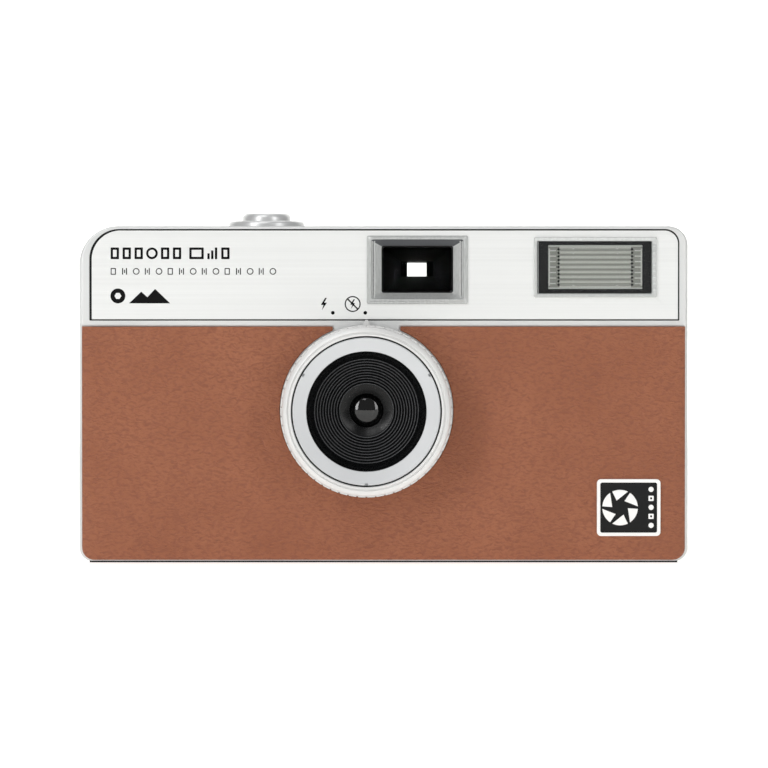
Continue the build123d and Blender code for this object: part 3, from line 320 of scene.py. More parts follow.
def roundedCorner(radius, top, size, steps=8):
    # quarter round from the side up to the top, as (radius, z) points
    return [(radius - size + size * math.cos(math.radians(90 * i / steps)),
             top - size + size * math.sin(math.radians(90 * i / steps))) for i in range(steps + 1)]


def trimBeyond(piece, level, side):
    # cuts away what lies past a level along y, on the given side, and closes the cut
    work = bmesh.new()
    work.from_mesh(piece.data)
    cut = bmesh.ops.bisect_plane(work, geom=work.verts[:] + work.edges[:] + work.faces[:],
                                 plane_co=(0, level, 0), plane_no=(0, side, 0), clear_outer=True)
    edges = [item for item in cut["geom_cut"] if isinstance(item, bmesh.types.BMEdge)]
    bmesh.ops.edgenet_fill(work, edges=edges)
    bmesh.ops.recalc_face_normals(work, faces=work.faces)
    work.to_mesh(piece.data)
    work.free()


def mmBox(node):
    low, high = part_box(node)
    return Vector(low), Vector(high)


# Camera and stage

view = {
    "distance": 1.0,          # m, a long lens on a copy stand
    "frameWidth": 0.13826,    # m seen across the picture at the camera's front
    "centreX": 0.00009,
    "centreZ": 0.03215,
    "elevation": 1.2,         # degrees above level
}


def setCamera():
    data = bpy.data.cameras.new("viewCamera")
    data.sensor_width = 36.0
    data.lens = 36.0 * view["distance"] / view["frameWidth"]
    data.clip_start = 0.05
    data.clip_end = 50.0
    camera = bpy.data.objects.new("viewCamera", data)
    bpy.context.scene.collection.objects.link(camera)
    tilt = math.radians(view["elevation"])
    frontY = mmBox("front_cover")[0].y
    camera.location = (view["centreX"], frontY - view["distance"] * math.cos(tilt),
                       view["centreZ"] + view["distance"] * math.sin(tilt))
    camera.rotation_euler = (math.radians(90) - tilt, 0, 0)
    bpy.context.scene.camera = camera


studio = {
    "worldColour": "#FFFFFF", "worldStrength": 0.25,
    "floorColour": "#FBFBF9", "floorGlow": 0.5,
    "lights": [  # name, place, aim, size, power in W
        ("leftStrip", (-0.66, -0.80, 0.40), (0, 0, 0.04), (0.20, 0.72), 3.2),
        ("rightStrip", (0.66, -0.80, 0.40), (0, 0, 0.04), (0.20, 0.72), 1.9),
        ("frontTopSoftbox", (-0.30, -0.70, 0.95), (0, 0, 0.03), (0.6, 0.4), 2.0),
        ("topSoftbox", (-0.05, 0.10, 0.95), (0, 0, 0.03), (0.9, 0.6), 1.4),
        ("backdropLamp", (0.0, 0.95, 0.9), (0, 1.75, 0.5), (1.6, 0.4), 11.0),
    ],
}


def setStudio():
    scene = bpy.context.scene
    scene.view_settings.view_transform = "Standard"
    world = bpy.data.worlds.new("paleRoom")
    world.use_nodes = True
    background = world.node_tree.nodes["Background"]
    background.inputs["Color"].default_value = hexColour(studio["worldColour"])
    background.inputs["Strength"].default_value = studio["worldStrength"]
    scene.world = world
    for name, place, aim, size, power in studio["lights"]:
        data = bpy.data.lights.new(name, "AREA")
        data.shape = "RECTANGLE"
        data.size, data.size_y = size
        data.energy = power
        lamp = bpy.data.objects.new(name, data)
        lamp.location = place
        lamp.rotation_euler = (Vector(aim) - Vector(place)).to_track_quat("-Z", "Y").to_euler()
        scene.collection.objects.link(lamp)
    mesh = bpy.data.meshes.new("floor")
    half, back, rise, sweep = 3.0, 1.25, 2.2, 0.5
    section = [(-3.0, 0.0), (back, 0.0)]
    for i in range(1, 17):
        angle = math.radians(90 * i / 16)
        section.append((back + sweep * math.sin(angle), sweep - sweep * math.cos(angle)))
    section.append((back + sweep, rise))
    verts = [(x, y, z - 0.00002) for y, z in section for x in (-half, half)]
    faces = [(2 * i, 2 * i + 1, 2 * i + 3, 2 * i + 2) for i in range(len(section) - 1)]
    mesh.from_pydata(verts, [], faces)
    floor = newPiece("floor", mesh)
    mesh.shade_smooth()
    # matt seamless paper that also glows, so that it stays white behind the part
    material, tree, shader = newMaterial("seamlessPaper", studio["floorColour"], 0.9)
    shader.inputs["Specular IOR Level"].default_value = 0.2
    shader.inputs["Emission Color"].default_value = hexColour("#FFFFFC")
    shader.inputs["Emission Strength"].default_value = studio["floorGlow"]
    # from below the paper lets the view through, so that the base can be looked at
    side = addNode(tree, "ShaderNodeNewGeometry").outputs["Backfacing"]
    clear = addNode(tree, "ShaderNodeBsdfTransparent").outputs["BSDF"]
    mixed = addNode(tree, "ShaderNodeMixShader", {"Fac": side, 1: shader.outputs["BSDF"], 2: clear})
    tree.links.new(mixed.outputs["Shader"], tree.nodes["Material Output"].inputs["Surface"])
    mesh.materials.append(material)


setCamera()
setStudio()
print("camera and stage set")


# Materials

def satinSilverPaint(name="satinSilverPaint", dark="#DFE0E0", light="#E9EAE9", roughness=0.36,
                     metallic=0.45):
    # silver lacquer on moulded ABS: a fine even grain under a soft, broad highlight
    material, tree, shader = newMaterial(name, light, roughness, metallic)
    grit = addNode(tree, "ShaderNodeTexNoise", {"Vector": objectSpace(tree), "Scale": 5200.0,
                                               "Detail": 3.0, "Roughness": 0.6})
    broad = addNode(tree, "ShaderNodeTexNoise", {"Vector": objectSpace(tree), "Scale": 60.0, "Detail": 2.0})
    tint = ramp(tree, broad.outputs["Fac"], [(0.3, dark), (0.7, light)])
    tree.links.new(tint, shader.inputs["Base Color"])
    rough = addNode(tree, "ShaderNodeMapRange", {"Value": grit.outputs["Fac"], "From Min": 0.3,
                                                 "From Max": 0.7,
                                                "To Min": roughness - 0.06, "To Max": roughness + 0.08})
    tree.links.new(rough.outputs["Result"], shader.inputs["Roughness"])
    bump(tree, shader, grit.outputs["Fac"], 0.22, 0.00003)
    return material


def brushedAluminium():
    # anodised aluminium sheet, brushed along its length: hair-fine level streaks
    material, tree, shader = newMaterial("brushedAluminium", "#F2F3F2", 0.36, 0.45)
    shader.inputs["Anisotropic"].default_value = 0.45
    fine = addNode(tree, "ShaderNodeTexNoise", {"Vector": objectSpace(tree, (18, 9000, 9000)),
                                               "Scale": 1.0, "Detail": 4.0, "Roughness": 0.7})
    coarse = addNode(tree, "ShaderNodeTexNoise", {"Vector": objectSpace(tree, (6, 2200, 2200)),
                                                 "Scale": 1.0, "Detail": 2.0})
    mixed = addNode(tree, "ShaderNodeMix", {"Factor": 0.4, "A": fine.outputs["Fac"],
                                           "B": coarse.outputs["Fac"]}, data_type="FLOAT")
    tint = ramp(tree, mixed.outputs["Result"], [(0.3, "#F0F1F0"), (0.7, "#F8F9F8")])
    tree.links.new(tint, shader.inputs["Base Color"])
    rough = addNode(tree, "ShaderNodeMapRange", {"Value": mixed.outputs["Result"], "From Min": 0.25,
                                                "From Max": 0.75, "To Min": 0.27, "To Max": 0.42})
    tree.links.new(rough.outputs["Result"], shader.inputs["Roughness"])
    bump(tree, shader, mixed.outputs["Result"], 0.15, 0.00002)
    return material


def imitationLeather():
    # embossed brown polyurethane on cloth: fine slanting wrinkles, with painted shade that darkens the
    # creases between them
    material, tree, shader = newMaterial("imitationLeather", "#9A6147", 0.5)
    shader.inputs["Specular IOR Level"].default_value = 0.38
    place = objectSpace(tree)
    drift = addNode(tree, "ShaderNodeTexNoise", {"Vector": place, "Scale": 620.0, "Detail": 3.0,
                                                "Roughness": 0.6})
    shove = addNode(tree, "ShaderNodeVectorMath", {0: drift.outputs["Color"], "Scale": 0.0016},
                    operation="SCALE")
    moved = addNode(tree, "ShaderNodeVectorMath", {0: place, 1: shove.outputs["Vector"]}, operation="ADD")
    leaning = addNode(tree, "ShaderNodeMapping", {"Vector": moved.outputs["Vector"],
                                                 "Rotation": (0, math.radians(-38), 0),
                                                 "Scale": (0.75, 1.0, 1.8)})
    pebble = addNode(tree, "ShaderNodeTexVoronoi", {"Vector": leaning.outputs["Vector"], "Scale": 1750.0,
                                                   "Randomness": 1.0}, feature="SMOOTH_F1")
    wrinkle = addNode(tree, "ShaderNodeTexNoise", {"Vector": leaning.outputs["Vector"], "Scale": 2300.0,
                                                  "Detail": 4.0, "Roughness": 0.62, "Distortion": 0.6})
    dome = addNode(tree, "ShaderNodeMapRange", {"Value": pebble.outputs["Distance"], "From Min": 0.15,
                                               "From Max": 0.75, "To Min": 1.0, "To Max": 0.0},
                   interpolation_type="SMOOTHSTEP")
    height = addNode(tree, "ShaderNodeMix", {"Factor": 0.55, "A": dome.outputs["Result"],
                                            "B": wrinkle.outputs["Fac"]}, data_type="FLOAT")
    patches = addNode(tree, "ShaderNodeTexNoise", {"Vector": place, "Scale": 70.0, "Detail": 3.0})
    body = ramp(tree, patches.outputs["Fac"], [(0.3, "#94583B"), (0.72, "#A06345")])
    # painted shade: the low parts of the grain are mixed towards a darker brown, the crests keep the body
    # colour
    creaseShadeMask = addNode(tree, "ShaderNodeMapRange", {"Value": height.outputs["Result"], "From Min": 0.2,
                                                "From Max": 0.62})
    shaded = addNode(tree, "ShaderNodeMix", {"Factor": creaseShadeMask.outputs["Result"], "A": hexColour("#87503A"),
                                            "B": body}, data_type="RGBA")
    tree.links.new(shaded.outputs["Result"], shader.inputs["Base Color"])
    rough = addNode(tree, "ShaderNodeMapRange", {"Value": height.outputs["Result"], "To Min": 0.62,
                                                "To Max": 0.38})
    tree.links.new(rough.outputs["Result"], shader.inputs["Roughness"])
    bump(tree, shader, height.outputs["Result"], 0.9, 0.00020)
    return material


def mouldedBlack(name="mouldedBlack", colour="#131416", roughness=0.42, grain=0.3):
    # black ABS from a spark-eroded mould: faint even stipple
    material, tree, shader = newMaterial(name, colour, roughness, Specular_IOR_Level=0.3)
    stipple = addNode(tree, "ShaderNodeTexNoise", {"Vector": objectSpace(tree), "Scale": 4200.0,
                                                  "Detail": 2.0})
    rough = addNode(tree, "ShaderNodeMapRange", {"Value": stipple.outputs["Fac"], "From Min": 0.3,
                                                "From Max": 0.7, "To Min": roughness - 0.06,
                                                "To Max": roughness + 0.08})
    tree.links.new(rough.outputs["Result"], shader.inputs["Roughness"])
    bump(tree, shader, stipple.outputs["Fac"], grain, 0.00003)
    return material


def greySatin(name="greySatinPlastic", dark="#BCBEBD", light="#CBCDCC", roughness=0.34):
    # grey satin paint on a moulded bezel, with faint vertical flow lines
    material, tree, shader = newMaterial(name, light, roughness, 0.35)
    flow = addNode(tree, "ShaderNodeTexNoise", {"Vector": objectSpace(tree, (2600, 2600, 900)),
                                               "Scale": 1.0, "Detail": 3.0})
    tint = ramp(tree, flow.outputs["Fac"], [(0.3, dark), (0.7, light)])
    tree.links.new(tint, shader.inputs["Base Color"])
    bump(tree, shader, flow.outputs["Fac"], 0.12, 0.00003)
    return material


def polishedAcrylic(name="polishedAcrylic", colour="#F4F6F6", roughness=0.02):
    # clear moulded acrylic: sharp reflections, faint haze
    material, tree, shader = newMaterial(name, colour, roughness)
    shader.inputs["Transmission Weight"].default_value = 1.0
    shader.inputs["IOR"].default_value = 1.49
    haze = addNode(tree, "ShaderNodeTexNoise", {"Vector": objectSpace(tree), "Scale": 900.0, "Detail": 2.0})
    rough = addNode(tree, "ShaderNodeMapRange", {"Value": haze.outputs["Fac"], "To Min": roughness,
                                                "To Max": roughness + 0.03})
    tree.links.new(rough.outputs["Result"], shader.inputs["Roughness"])
    return material


def brightMetal(name, colour, roughness, scale=(3000, 3000, 200), grain=0.08):
    # plated or rolled metal with drawn lines
    material, tree, shader = newMaterial(name, colour, roughness, 1.0)
    drawn = addNode(tree, "ShaderNodeTexNoise", {"Vector": objectSpace(tree, scale), "Scale": 1.0,
                                                "Detail": 3.0})
    rough = addNode(tree, "ShaderNodeMapRange", {"Value": drawn.outputs["Fac"], "From Min": 0.3,
                                                "From Max": 0.7, "To Min": roughness * 0.8,
                                                "To Max": roughness * 1.3})
    tree.links.new(rough.outputs["Result"], shader.inputs["Roughness"])
    bump(tree, shader, drawn.outputs["Fac"], grain, 0.00002)
    return material


silverPaint = satinSilverPaint()
labelMetal = brushedAluminium()
leather = imitationLeather()
blackPlastic = mouldedBlack()
bezelGrey = greySatin()
clearAcrylic = polishedAcrylic()
springSteel = brightMetal("drawnSpringSteel", "#B9BABC", 0.28)
print("main materials made")

# Leather panel

panelShape = {
    "biteRadius": 15.6 * mm,      # the ring's clearance
    "neckHalfWidth": 6.1 * mm,
    "tipRadius": 0.25 * mm,
    "edgeRoll": 2.0 * mm,         # width of the padded roll at the outer edges
    "rollDepth": 0.8 * mm,
    "cutRound": 0.22 * mm,
}


def panelCutter(front, back, top):
    # everything above the panel, the neck and the circle around the ring
    shape = panelShape
    tip, half, bite = shape["tipRadius"], shape["neckHalfWidth"], shape["biteRadius"]
    reach = math.sqrt(bite ** 2 - half ** 2)
    loop = [(-0.08, top + 0.02), (-0.08, top)]
    for i in range(7):
        angle = math.radians(90 - 15 * i)
        loop.append((lensX - half - tip + tip * math.cos(angle), top - tip + tip * math.sin(angle)))
    start = math.atan2(reach, -half)
    end = math.atan2(reach, half) + 2 * math.pi
    for i in range(129):
        angle = start + (end - start) * i / 128
        loop.append((lensX + bite * math.cos(angle), lensZ + bite * math.sin(angle)))
    for i in range(7):
        angle = math.radians(180 - 15 * i)
        loop.append((lensX + half + tip + tip * math.cos(angle), top - tip + tip * math.sin(angle)))
    loop += [(0.08, top), (0.08, top + 0.02)]
    return prism("panelCutter", loop, front - 0.002, back + 0.002)


def makeLeatherPanel():
    low, high = mmBox("leather_panel")
    shape = panelShape
    outline = roundedLoop(low.x, high.x, low.z, high.z + 0.01, [2.2 * mm, 2.2 * mm, 2 * mm, 2 * mm], 16)
    panel = cutPlate("leatherPanel", [outline], low.y, 2 * high.y - low.y, shape["edgeRoll"], 8,
                     shape["rollDepth"] / shape["edgeRoll"])
    trimBeyond(panel, high.y, 1)
    subtract(panel, panelCutter(low.y, high.y, high.z))
    badgeLow, badgeHigh = mmBox("badge")
    inset = 0.45 * mm
    opening = roundedLoop(badgeLow.x + inset, badgeHigh.x - inset, badgeLow.z + inset, badgeHigh.z - inset,
                          [0.3 * mm] * 4, 4)
    subtract(panel, prism("badgeOpening", opening, low.y - 0.002, high.y + 0.002))
    roundFrontEdges(panel, low.y, shape["cutRound"],
                    lambda co: co.z > high.z - 1e-6
                    or (co.x - lensX) ** 2 + (co.z - lensZ) ** 2 < (shape["biteRadius"] + 4e-4) ** 2)
    finishPiece(panel, "camera_body", leather, ["leather_panel"], 40)


makeLeatherPanel()
print("leather panel made")


# Label plate and its printed marks

labelShape = {"edgeRound": 0.07 * mm, "corner": [0.1 * mm, 0.1 * mm, 2.4 * mm, 5.2 * mm],
              "inkLift": 0.012 * mm}


def windowLoop(node, extraX, extraZ):
    low, high = mmBox(node)
    return roundedLoop(low.x + extraX, high.x - extraX, low.z + extraZ, high.z - extraZ, [0.2 * mm] * 4, 4)


def makeLabelPlate():
    low, high = mmBox("label_plate")
    loops = [roundedLoop(low.x + 0.18 * mm, high.x, low.z, high.z - 0.08 * mm, labelShape["corner"], 20),
             windowLoop("viewfinder_bezel", 1.3 * mm, 0.55 * mm),
             windowLoop("flash_window", 0.65 * mm, 0.55 * mm)]
    plate = cutPlate("labelPlate", loops, low.y, high.y, labelShape["edgeRound"], 3)
    finishPiece(plate, "camera_body", labelMetal, ["label_plate"])


def inkShapes(shapes, name):
    # flat printed shapes on the label: each entry is a list of loops, the first one outside
    front = mmBox("label_plate")[0].y
    pieces = [cutPlate(name, loops, front - labelShape["inkLift"], front + 0.02 * mm, 0.004 * mm, 1)
              for loops in shapes]
    joined = joinPieces(name, pieces)
    finishPiece(joined, "camera_body", printedInk)


def frameMark(x, z, width, height, stroke):
    outer = roundedLoop(x, x + width, z, z + height, [0.12 * mm] * 4, 3)
    inner = roundedLoop(x + stroke, x + width - stroke, z + stroke, z + height - stroke, [0.06 * mm] * 4, 3)
    return [outer, inner]


def barMark(x, z, width, height):
    return [roundedLoop(x, x + width, z, z + height, [0.05 * mm] * 4, 2)]


def ringMark(x, z, radius, stroke, sides=40):
    return [circleLoop(x, z, radius, sides), circleLoop(x, z, radius - stroke, sides)]


def polygonMark(points):
    return [[(x * mm, z * mm) for x, z in points]]


def boltMark(x, z, height):
    # lightning flash, taller than wide
    unit = height / 12
    points = [(1.2, 6), (-3.0, -0.9), (-0.4, -0.9), (-2.0, -6), (3.0, 1.3), (0.3, 1.3), (2.9, 6)]
    return [[(x + px * unit, z + pz * unit) for px, pz in points]]


marks = {
    "left": -49.1,                                # mm, where the three rows begin
    "stripZ": 54.62, "stripHeight": 2.1, "stripStroke": 0.42,
    "scaleZ": 51.82, "scaleHeight": 1.2, "scaleStep": 2.05, "scaleCount": 15,
    "emblemZ": 46.95,
    "boltX": -10.73, "noFlashX": -5.55, "iconZ": 46.55,
    "dotXs": (-9.12, -3.28), "dotZ": 44.97, "dotRadius": 0.33,
}


def stripRow():
    # a run of half frames between whole ones, as on a contact sheet
    m = marks
    shapes = []
    x, z, height, stroke = m["left"] * mm, m["stripZ"] * mm, m["stripHeight"] * mm, m["stripStroke"] * mm
    for kind in ("half", "half", "half", "sun", "half", "half", "gap", "whole", "bars", "half"):
        if kind == "half":
            shapes.append(frameMark(x, z, 1.5 * mm, height, stroke))
            x += 2.15 * mm
        elif kind == "whole":
            shapes.append(frameMark(x, z, 2.6 * mm, height, stroke))
            x += 3.25 * mm
        elif kind == "sun":
            shapes.append(ringMark(x + 0.98 * mm, z + height / 2, height / 2, stroke * 0.95))
            x += 2.6 * mm
        elif kind == "bars":
            for step in range(3):
                shapes.append(barMark(x + 0.68 * mm * step, z, stroke, height * (0.5 + 0.25 * step)))
            x += 2.5 * mm
        else:
            x += 0.8 * mm
    return shapes


def scaleRow():
    # an exposure scale of ticks, diamonds and small frames
    m = marks
    shapes = []
    height = m["scaleHeight"] * mm
    for i in range(m["scaleCount"]):
        x, z = (m["left"] + m["scaleStep"] * i) * mm, m["scaleZ"] * mm
        if i % 5 == 0:
            shapes.append(frameMark(x, z, 0.95 * mm, height, 0.17 * mm))
        elif i % 5 in (2, 4):
            shapes.append(ringMark(x + 0.5 * mm, z + height / 2, height / 2, 0.17 * mm, 24))
        else:
            shapes.append(barMark(x, z, 0.19 * mm, height))
            shapes.append(barMark(x + 0.36 * mm, z + height * 0.25, 0.17 * mm, height * 0.5))
            shapes.append(barMark(x + 0.7 * mm, z, 0.19 * mm, height))
    return shapes


def emblemRow():
    # an iris of six blades, then a horizon with two hills
    m = marks
    x, z = (m["left"] + 1.3) * mm, (m["emblemZ"] + 1.05) * mm
    shapes = [[circleLoop(x, z, 1.34 * mm, 48), circleLoop(x, z, 0.62 * mm, 6)]]
    base = m["emblemZ"] - 0.28
    start = m["left"] + 3.3
    shapes.append(polygonMark([(start, base), (start + 2.2, base + 2.1), (start + 3.3, base + 1.1),
                               (start + 4.7, base + 2.6), (start + 7.4, base)]))
    return shapes


def iconRow():
    m = marks
    x, z = m["noFlashX"] * mm, m["iconZ"] * mm
    slash = 0.09 * mm
    reach = 1.3 * mm * math.sqrt(0.5)
    ring = ringMark(x, z, 1.44 * mm, 0.22 * mm, 56)
    bar = [[(x - reach - slash, z + reach - slash), (x - reach + slash, z + reach + slash),
            (x + reach + slash, z - reach + slash), (x + reach - slash, z - reach - slash)]]
    dots = [[circleLoop(dotX * mm, m["dotZ"] * mm, m["dotRadius"] * mm, 32)] for dotX in m["dotXs"]]
    return [boltMark(m["boltX"] * mm, z, 2.2 * mm), ring, bar, boltMark(x, z, 1.7 * mm), *dots]


# flat black ink with almost no shine
printedInk, _, _ = newMaterial("screenPrintedInk", "#040405", 0.6, Specular_IOR_Level=0.15)
makeLabelPlate()
inkShapes(stripRow() + scaleRow() + emblemRow() + iconRow(), "printedMarks")
print("label plate made")


# Badge

badgeShape = {"border": 0.62 * mm, "corner": 0.75 * mm, "sunk": 0.22 * mm, "emblemX": 3.55 * mm,
              "emblemRadius": 3.2 * mm}


def makeBadge():
    low, high = mmBox("badge")
    shape = badgeShape
    middleZ = (low.z + high.z) / 2
    border = shape["border"]
    rim = cutPlate("badgeRim", [roundedLoop(low.x, high.x, low.z, high.z, [shape["corner"]] * 4, 8),
                                roundedLoop(low.x + border, high.x - border, low.z + border,
                                            high.z - border,
                                            [0.35 * mm] * 4, 6)], low.y, high.y, 0.09 * mm, 3)
    x = low.x + border + shape["emblemX"]
    radius = shape["emblemRadius"]
    parts = [rim]
    # iris: six blades seen as wedges around a hexagon
    for i in range(6):
        turn = math.radians(60 * i)
        arc = [(x + radius * math.cos(turn + math.radians(a)),
                middleZ + radius * math.sin(turn + math.radians(a)))
               for a in range(4, 57, 4)]
        inner = 0.44 * radius
        tip = (x + inner * math.cos(turn + math.radians(56)),
               middleZ + inner * math.sin(turn + math.radians(56)))
        parts.append(cutPlate("blade", [arc + [tip]], low.y, low.y + 0.4 * mm, 0.05 * mm, 2))
    for i in range(5):
        size = 0.95 * mm
        z = high.z - border - 0.75 * mm - size - i * 1.62 * mm
        left = high.x - border - 0.6 * mm - size
        loops = frameMark(left, z, size, size, 0.3 * mm) if i % 2 else [circleLoop(left + size / 2,
                                                                                   z + size / 2,
                                                                                size / 2, 24)]
        parts.append(cutPlate("dot", loops, low.y + 0.08 * mm, low.y + 0.4 * mm, 0.03 * mm, 1))
    raised = joinPieces("badgeRaised", parts)
    finishPiece(raised, "camera_body", badgeWhite, ["badge"])
    field = cutPlate("badgeField", [roundedLoop(low.x + 0.3 * mm, high.x - 0.3 * mm, low.z + 0.3 * mm,
                                                high.z - 0.3 * mm, [0.3 * mm] * 4, 4)],
                     low.y + shape["sunk"], high.y - 0.02 * mm, 0.03 * mm, 1)
    finishPiece(field, "camera_body", badgeBlack)


# baked enamel in two plain colours
badgeWhite, _, _ = newMaterial("badgeWhiteEnamel", "#FAFAF8", 0.35)
badgeBlack, _, _ = newMaterial("badgeBlackEnamel", "#0A0B0C", 0.4, Specular_IOR_Level=0.3)
makeBadge()
print("badge made")


# Lens ring, trim, barrel and lens

def ringTree(name):
    # a Geometry Nodes tree with one geometry output; inputs are added by the caller
    tree = bpy.data.node_groups.new(name, "GeometryNodeTree")
    tree.interface.new_socket("Geometry", in_out="OUTPUT", socket_type="NodeSocketGeometry")
    return tree


def addInput(tree, label, kind, value):
    socket = tree.interface.new_socket(label, in_out="INPUT", socket_type=kind)
    socket.default_value = value
    return socket.identifier


def meshFromTree(name, tree, values):
    # runs the tree on an empty mesh with its inputs set by identifier, and keeps a plain mesh
    holder = newPiece(name, bpy.data.meshes.new(name))
    run = holder.modifiers.new("build", "NODES")
    run.node_group = tree
    for identifier, value in values.items():
        run[identifier] = value
    bakeModifiers(holder)
    return holder


def polarTree(name, defaults, material, makeItem):
    # copies of one item evenly around the lens axis
    tree = ringTree(name)
    names = {label: addInput(tree, label, kind, value) for label, (kind, value) in defaults.items()}
    given = addNode(tree, "NodeGroupInput").outputs
    circle = addNode(tree, "GeometryNodeMeshCircle",
                     {"Vertices": given["Count"], "Radius": given["Radius"]})
    spot = addNode(tree, "GeometryNodeInputPosition").outputs["Position"]
    parts = addNode(tree, "ShaderNodeSeparateXYZ", {"Vector": spot})
    angle = addNode(tree, "ShaderNodeMath", {0: parts.outputs["Y"], 1: parts.outputs["X"]},
                    operation="ARCTAN2")
    turn = addNode(tree, "ShaderNodeCombineXYZ", {"Z": angle.outputs["Value"]})
    item = makeItem(tree, given)
    copies = addNode(tree, "GeometryNodeInstanceOnPoints",
                     {"Points": circle.outputs["Mesh"], "Instance": item,
                      "Rotation": turn.outputs["Vector"]})
    placed = addNode(tree, "GeometryNodeTransform",
                     {"Geometry": copies.outputs["Instances"], "Rotation": (math.radians(90), 0, 0),
                      "Translation": (lensX, 0, lensZ)})
    real = addNode(tree, "GeometryNodeRealizeInstances", {"Geometry": placed.outputs["Geometry"]})
    painted = addNode(tree, "GeometryNodeSetMaterial", {"Geometry": real.outputs["Geometry"],
                                                       "Material": material})
    addNode(tree, "NodeGroupOutput", {"Geometry": painted.outputs["Geometry"]})
    return tree, names


ringShape = {
    "bore": 13.48 * mm, "outer": 15.16 * mm, "gripDepth": 0.22 * mm, "gripWidth": 1.4 * mm,
    "gripCount": 58, "front": -19.5 * mm, "back": -10.7 * mm, "gripFront": -18.25 * mm,
    "gripBack": -11.7 * mm,
}


def gripItem(tree, given):
    size = addNode(tree, "ShaderNodeCombineXYZ", {"X": given["Depth"], "Y": given["Width"],
                                                  "Z": given["Length"]})
    block = addNode(tree, "GeometryNodeMeshCube", {"Size": size.outputs["Vector"]})
    middle = addNode(tree, "ShaderNodeCombineXYZ", {"Z": given["Middle"]})
    centred = addNode(tree, "GeometryNodeTransform", {"Geometry": block.outputs["Mesh"],
                                                     "Translation": middle.outputs["Vector"]})
    return centred.outputs["Geometry"]


def makeFlashRing():
    s = ringShape
    outer, front = s["outer"], s["front"]
    section = [(s["bore"], s["back"]), (s["bore"], front + 0.22 * mm),
               (s["bore"] + 0.06 * mm, front + 0.06 * mm),
               (s["bore"] + 0.2 * mm, front), (s["bore"] + 0.36 * mm, front),
               (s["bore"] + 0.42 * mm, front + 0.05 * mm), (s["bore"] + 0.45 * mm, front + 0.3 * mm),
               (s["bore"] + 0.66 * mm, front + 0.3 * mm), (s["bore"] + 0.7 * mm, front + 0.12 * mm),
               (s["bore"] + 0.78 * mm, front + 0.06 * mm), (outer - 0.45 * mm, front + 0.28 * mm),
               (outer - 0.18 * mm, front + 0.52 * mm), (outer - 0.04 * mm, front + 0.95 * mm),
               (outer, front + 1.5 * mm), (outer, s["gripBack"]),
               (outer + s["gripDepth"], s["gripBack"] + 0.1 * mm),
               (outer + s["gripDepth"], s["back"])]
    body = turnedPiece("ringBody", section, 240)
    defaults = {"Count": ("NodeSocketInt", 58), "Radius": ("NodeSocketFloat", 0.0153),
                "Depth": ("NodeSocketFloat", 0.0004), "Width": ("NodeSocketFloat", 0.0012),
                "Length": ("NodeSocketFloat", 0.006), "Middle": ("NodeSocketFloat", 0.015)}
    tree, names = polarTree("gripTeeth", defaults, silverPaint, gripItem)
    depth = s["gripDepth"] + 0.1 * mm
    teeth = meshFromTree("gripTeeth", tree, {
        names["Count"]: s["gripCount"], names["Radius"]: outer - 0.1 * mm + depth / 2,
        names["Depth"]: depth,
        names["Width"]: s["gripWidth"], names["Length"]: s["gripBack"] - s["gripFront"],
        names["Middle"]: -(s["gripBack"] + s["gripFront"]) / 2})
    softenEdges(teeth, 0.09 * mm)
    pointer = prism("pointer", [(lensX - 0.75 * mm, lensZ + outer), (lensX + 0.75 * mm, lensZ + outer),
                                (lensX + 0.22 * mm, lensZ + 16.3 * mm),
                                (lensX - 0.22 * mm, lensZ + 16.3 * mm)],
                    s["back"] - 0.9 * mm, s["back"])
    softenEdges(pointer, 0.08 * mm)
    ring = joinPieces("flashRing", [body, teeth, pointer])
    finishPiece(ring, "flash_ring", ringPaint, ["flash_ring"], 40)


trimShape = {"outer": 13.22 * mm, "inner": 10.74 * mm, "back": -18.4 * mm, "front": -19.36 * mm,
             "slope": 0.5 * mm, "notchDepth": 0.42 * mm, "notchWidth": 0.85 * mm,
             "notchAngles": (30, 150, 270)}


def makeLensTrim():
    s = trimShape
    section = [(s["outer"], s["back"]), (s["outer"], s["front"] + 0.22 * mm),
               (s["outer"] - 0.07 * mm, s["front"] + 0.06 * mm), (s["outer"] - 0.2 * mm, s["front"]),
               (s["inner"] + 0.2 * mm, s["front"] + s["slope"]),
               (s["inner"] + 0.06 * mm, s["front"] + s["slope"] + 0.05 * mm),
               (s["inner"], s["front"] + s["slope"] + 0.18 * mm), (s["inner"], s["back"])]
    trim = turnedPiece("lensTrim", section, 240)
    for angle in s["notchAngles"]:
        turn = math.radians(angle)
        across = Vector((-math.sin(turn), math.cos(turn)))
        along = Vector((math.cos(turn), math.sin(turn)))
        centre = Vector((lensX, lensZ))
        half = s["notchWidth"] / 2
        corners = [centre + along * (s["outer"] - s["notchDepth"]) - across * half * 0.6,
                   centre + along * (s["outer"] + 0.4 * mm) - across * half,
                   centre + along * (s["outer"] + 0.4 * mm) + across * half,
                   centre + along * (s["outer"] - s["notchDepth"]) + across * half * 0.6]
        subtract(trim, prism("notch", [tuple(corner) for corner in corners], s["front"] - 1 * mm,
                             s["back"] - 0.2 * mm))
    finishPiece(trim, "camera_body", trimPaint, ["lens_trim"], 30)


hoodShape = {"mouth": 10.74 * mm, "bandInner": 9.3 * mm, "ribInner": 4.85 * mm, "ribCount": 10,
             "ribFront": -16.1 * mm, "ribBack": -11.5 * mm, "wire": 0.085 * mm, "lensRadius": 3.1 * mm}


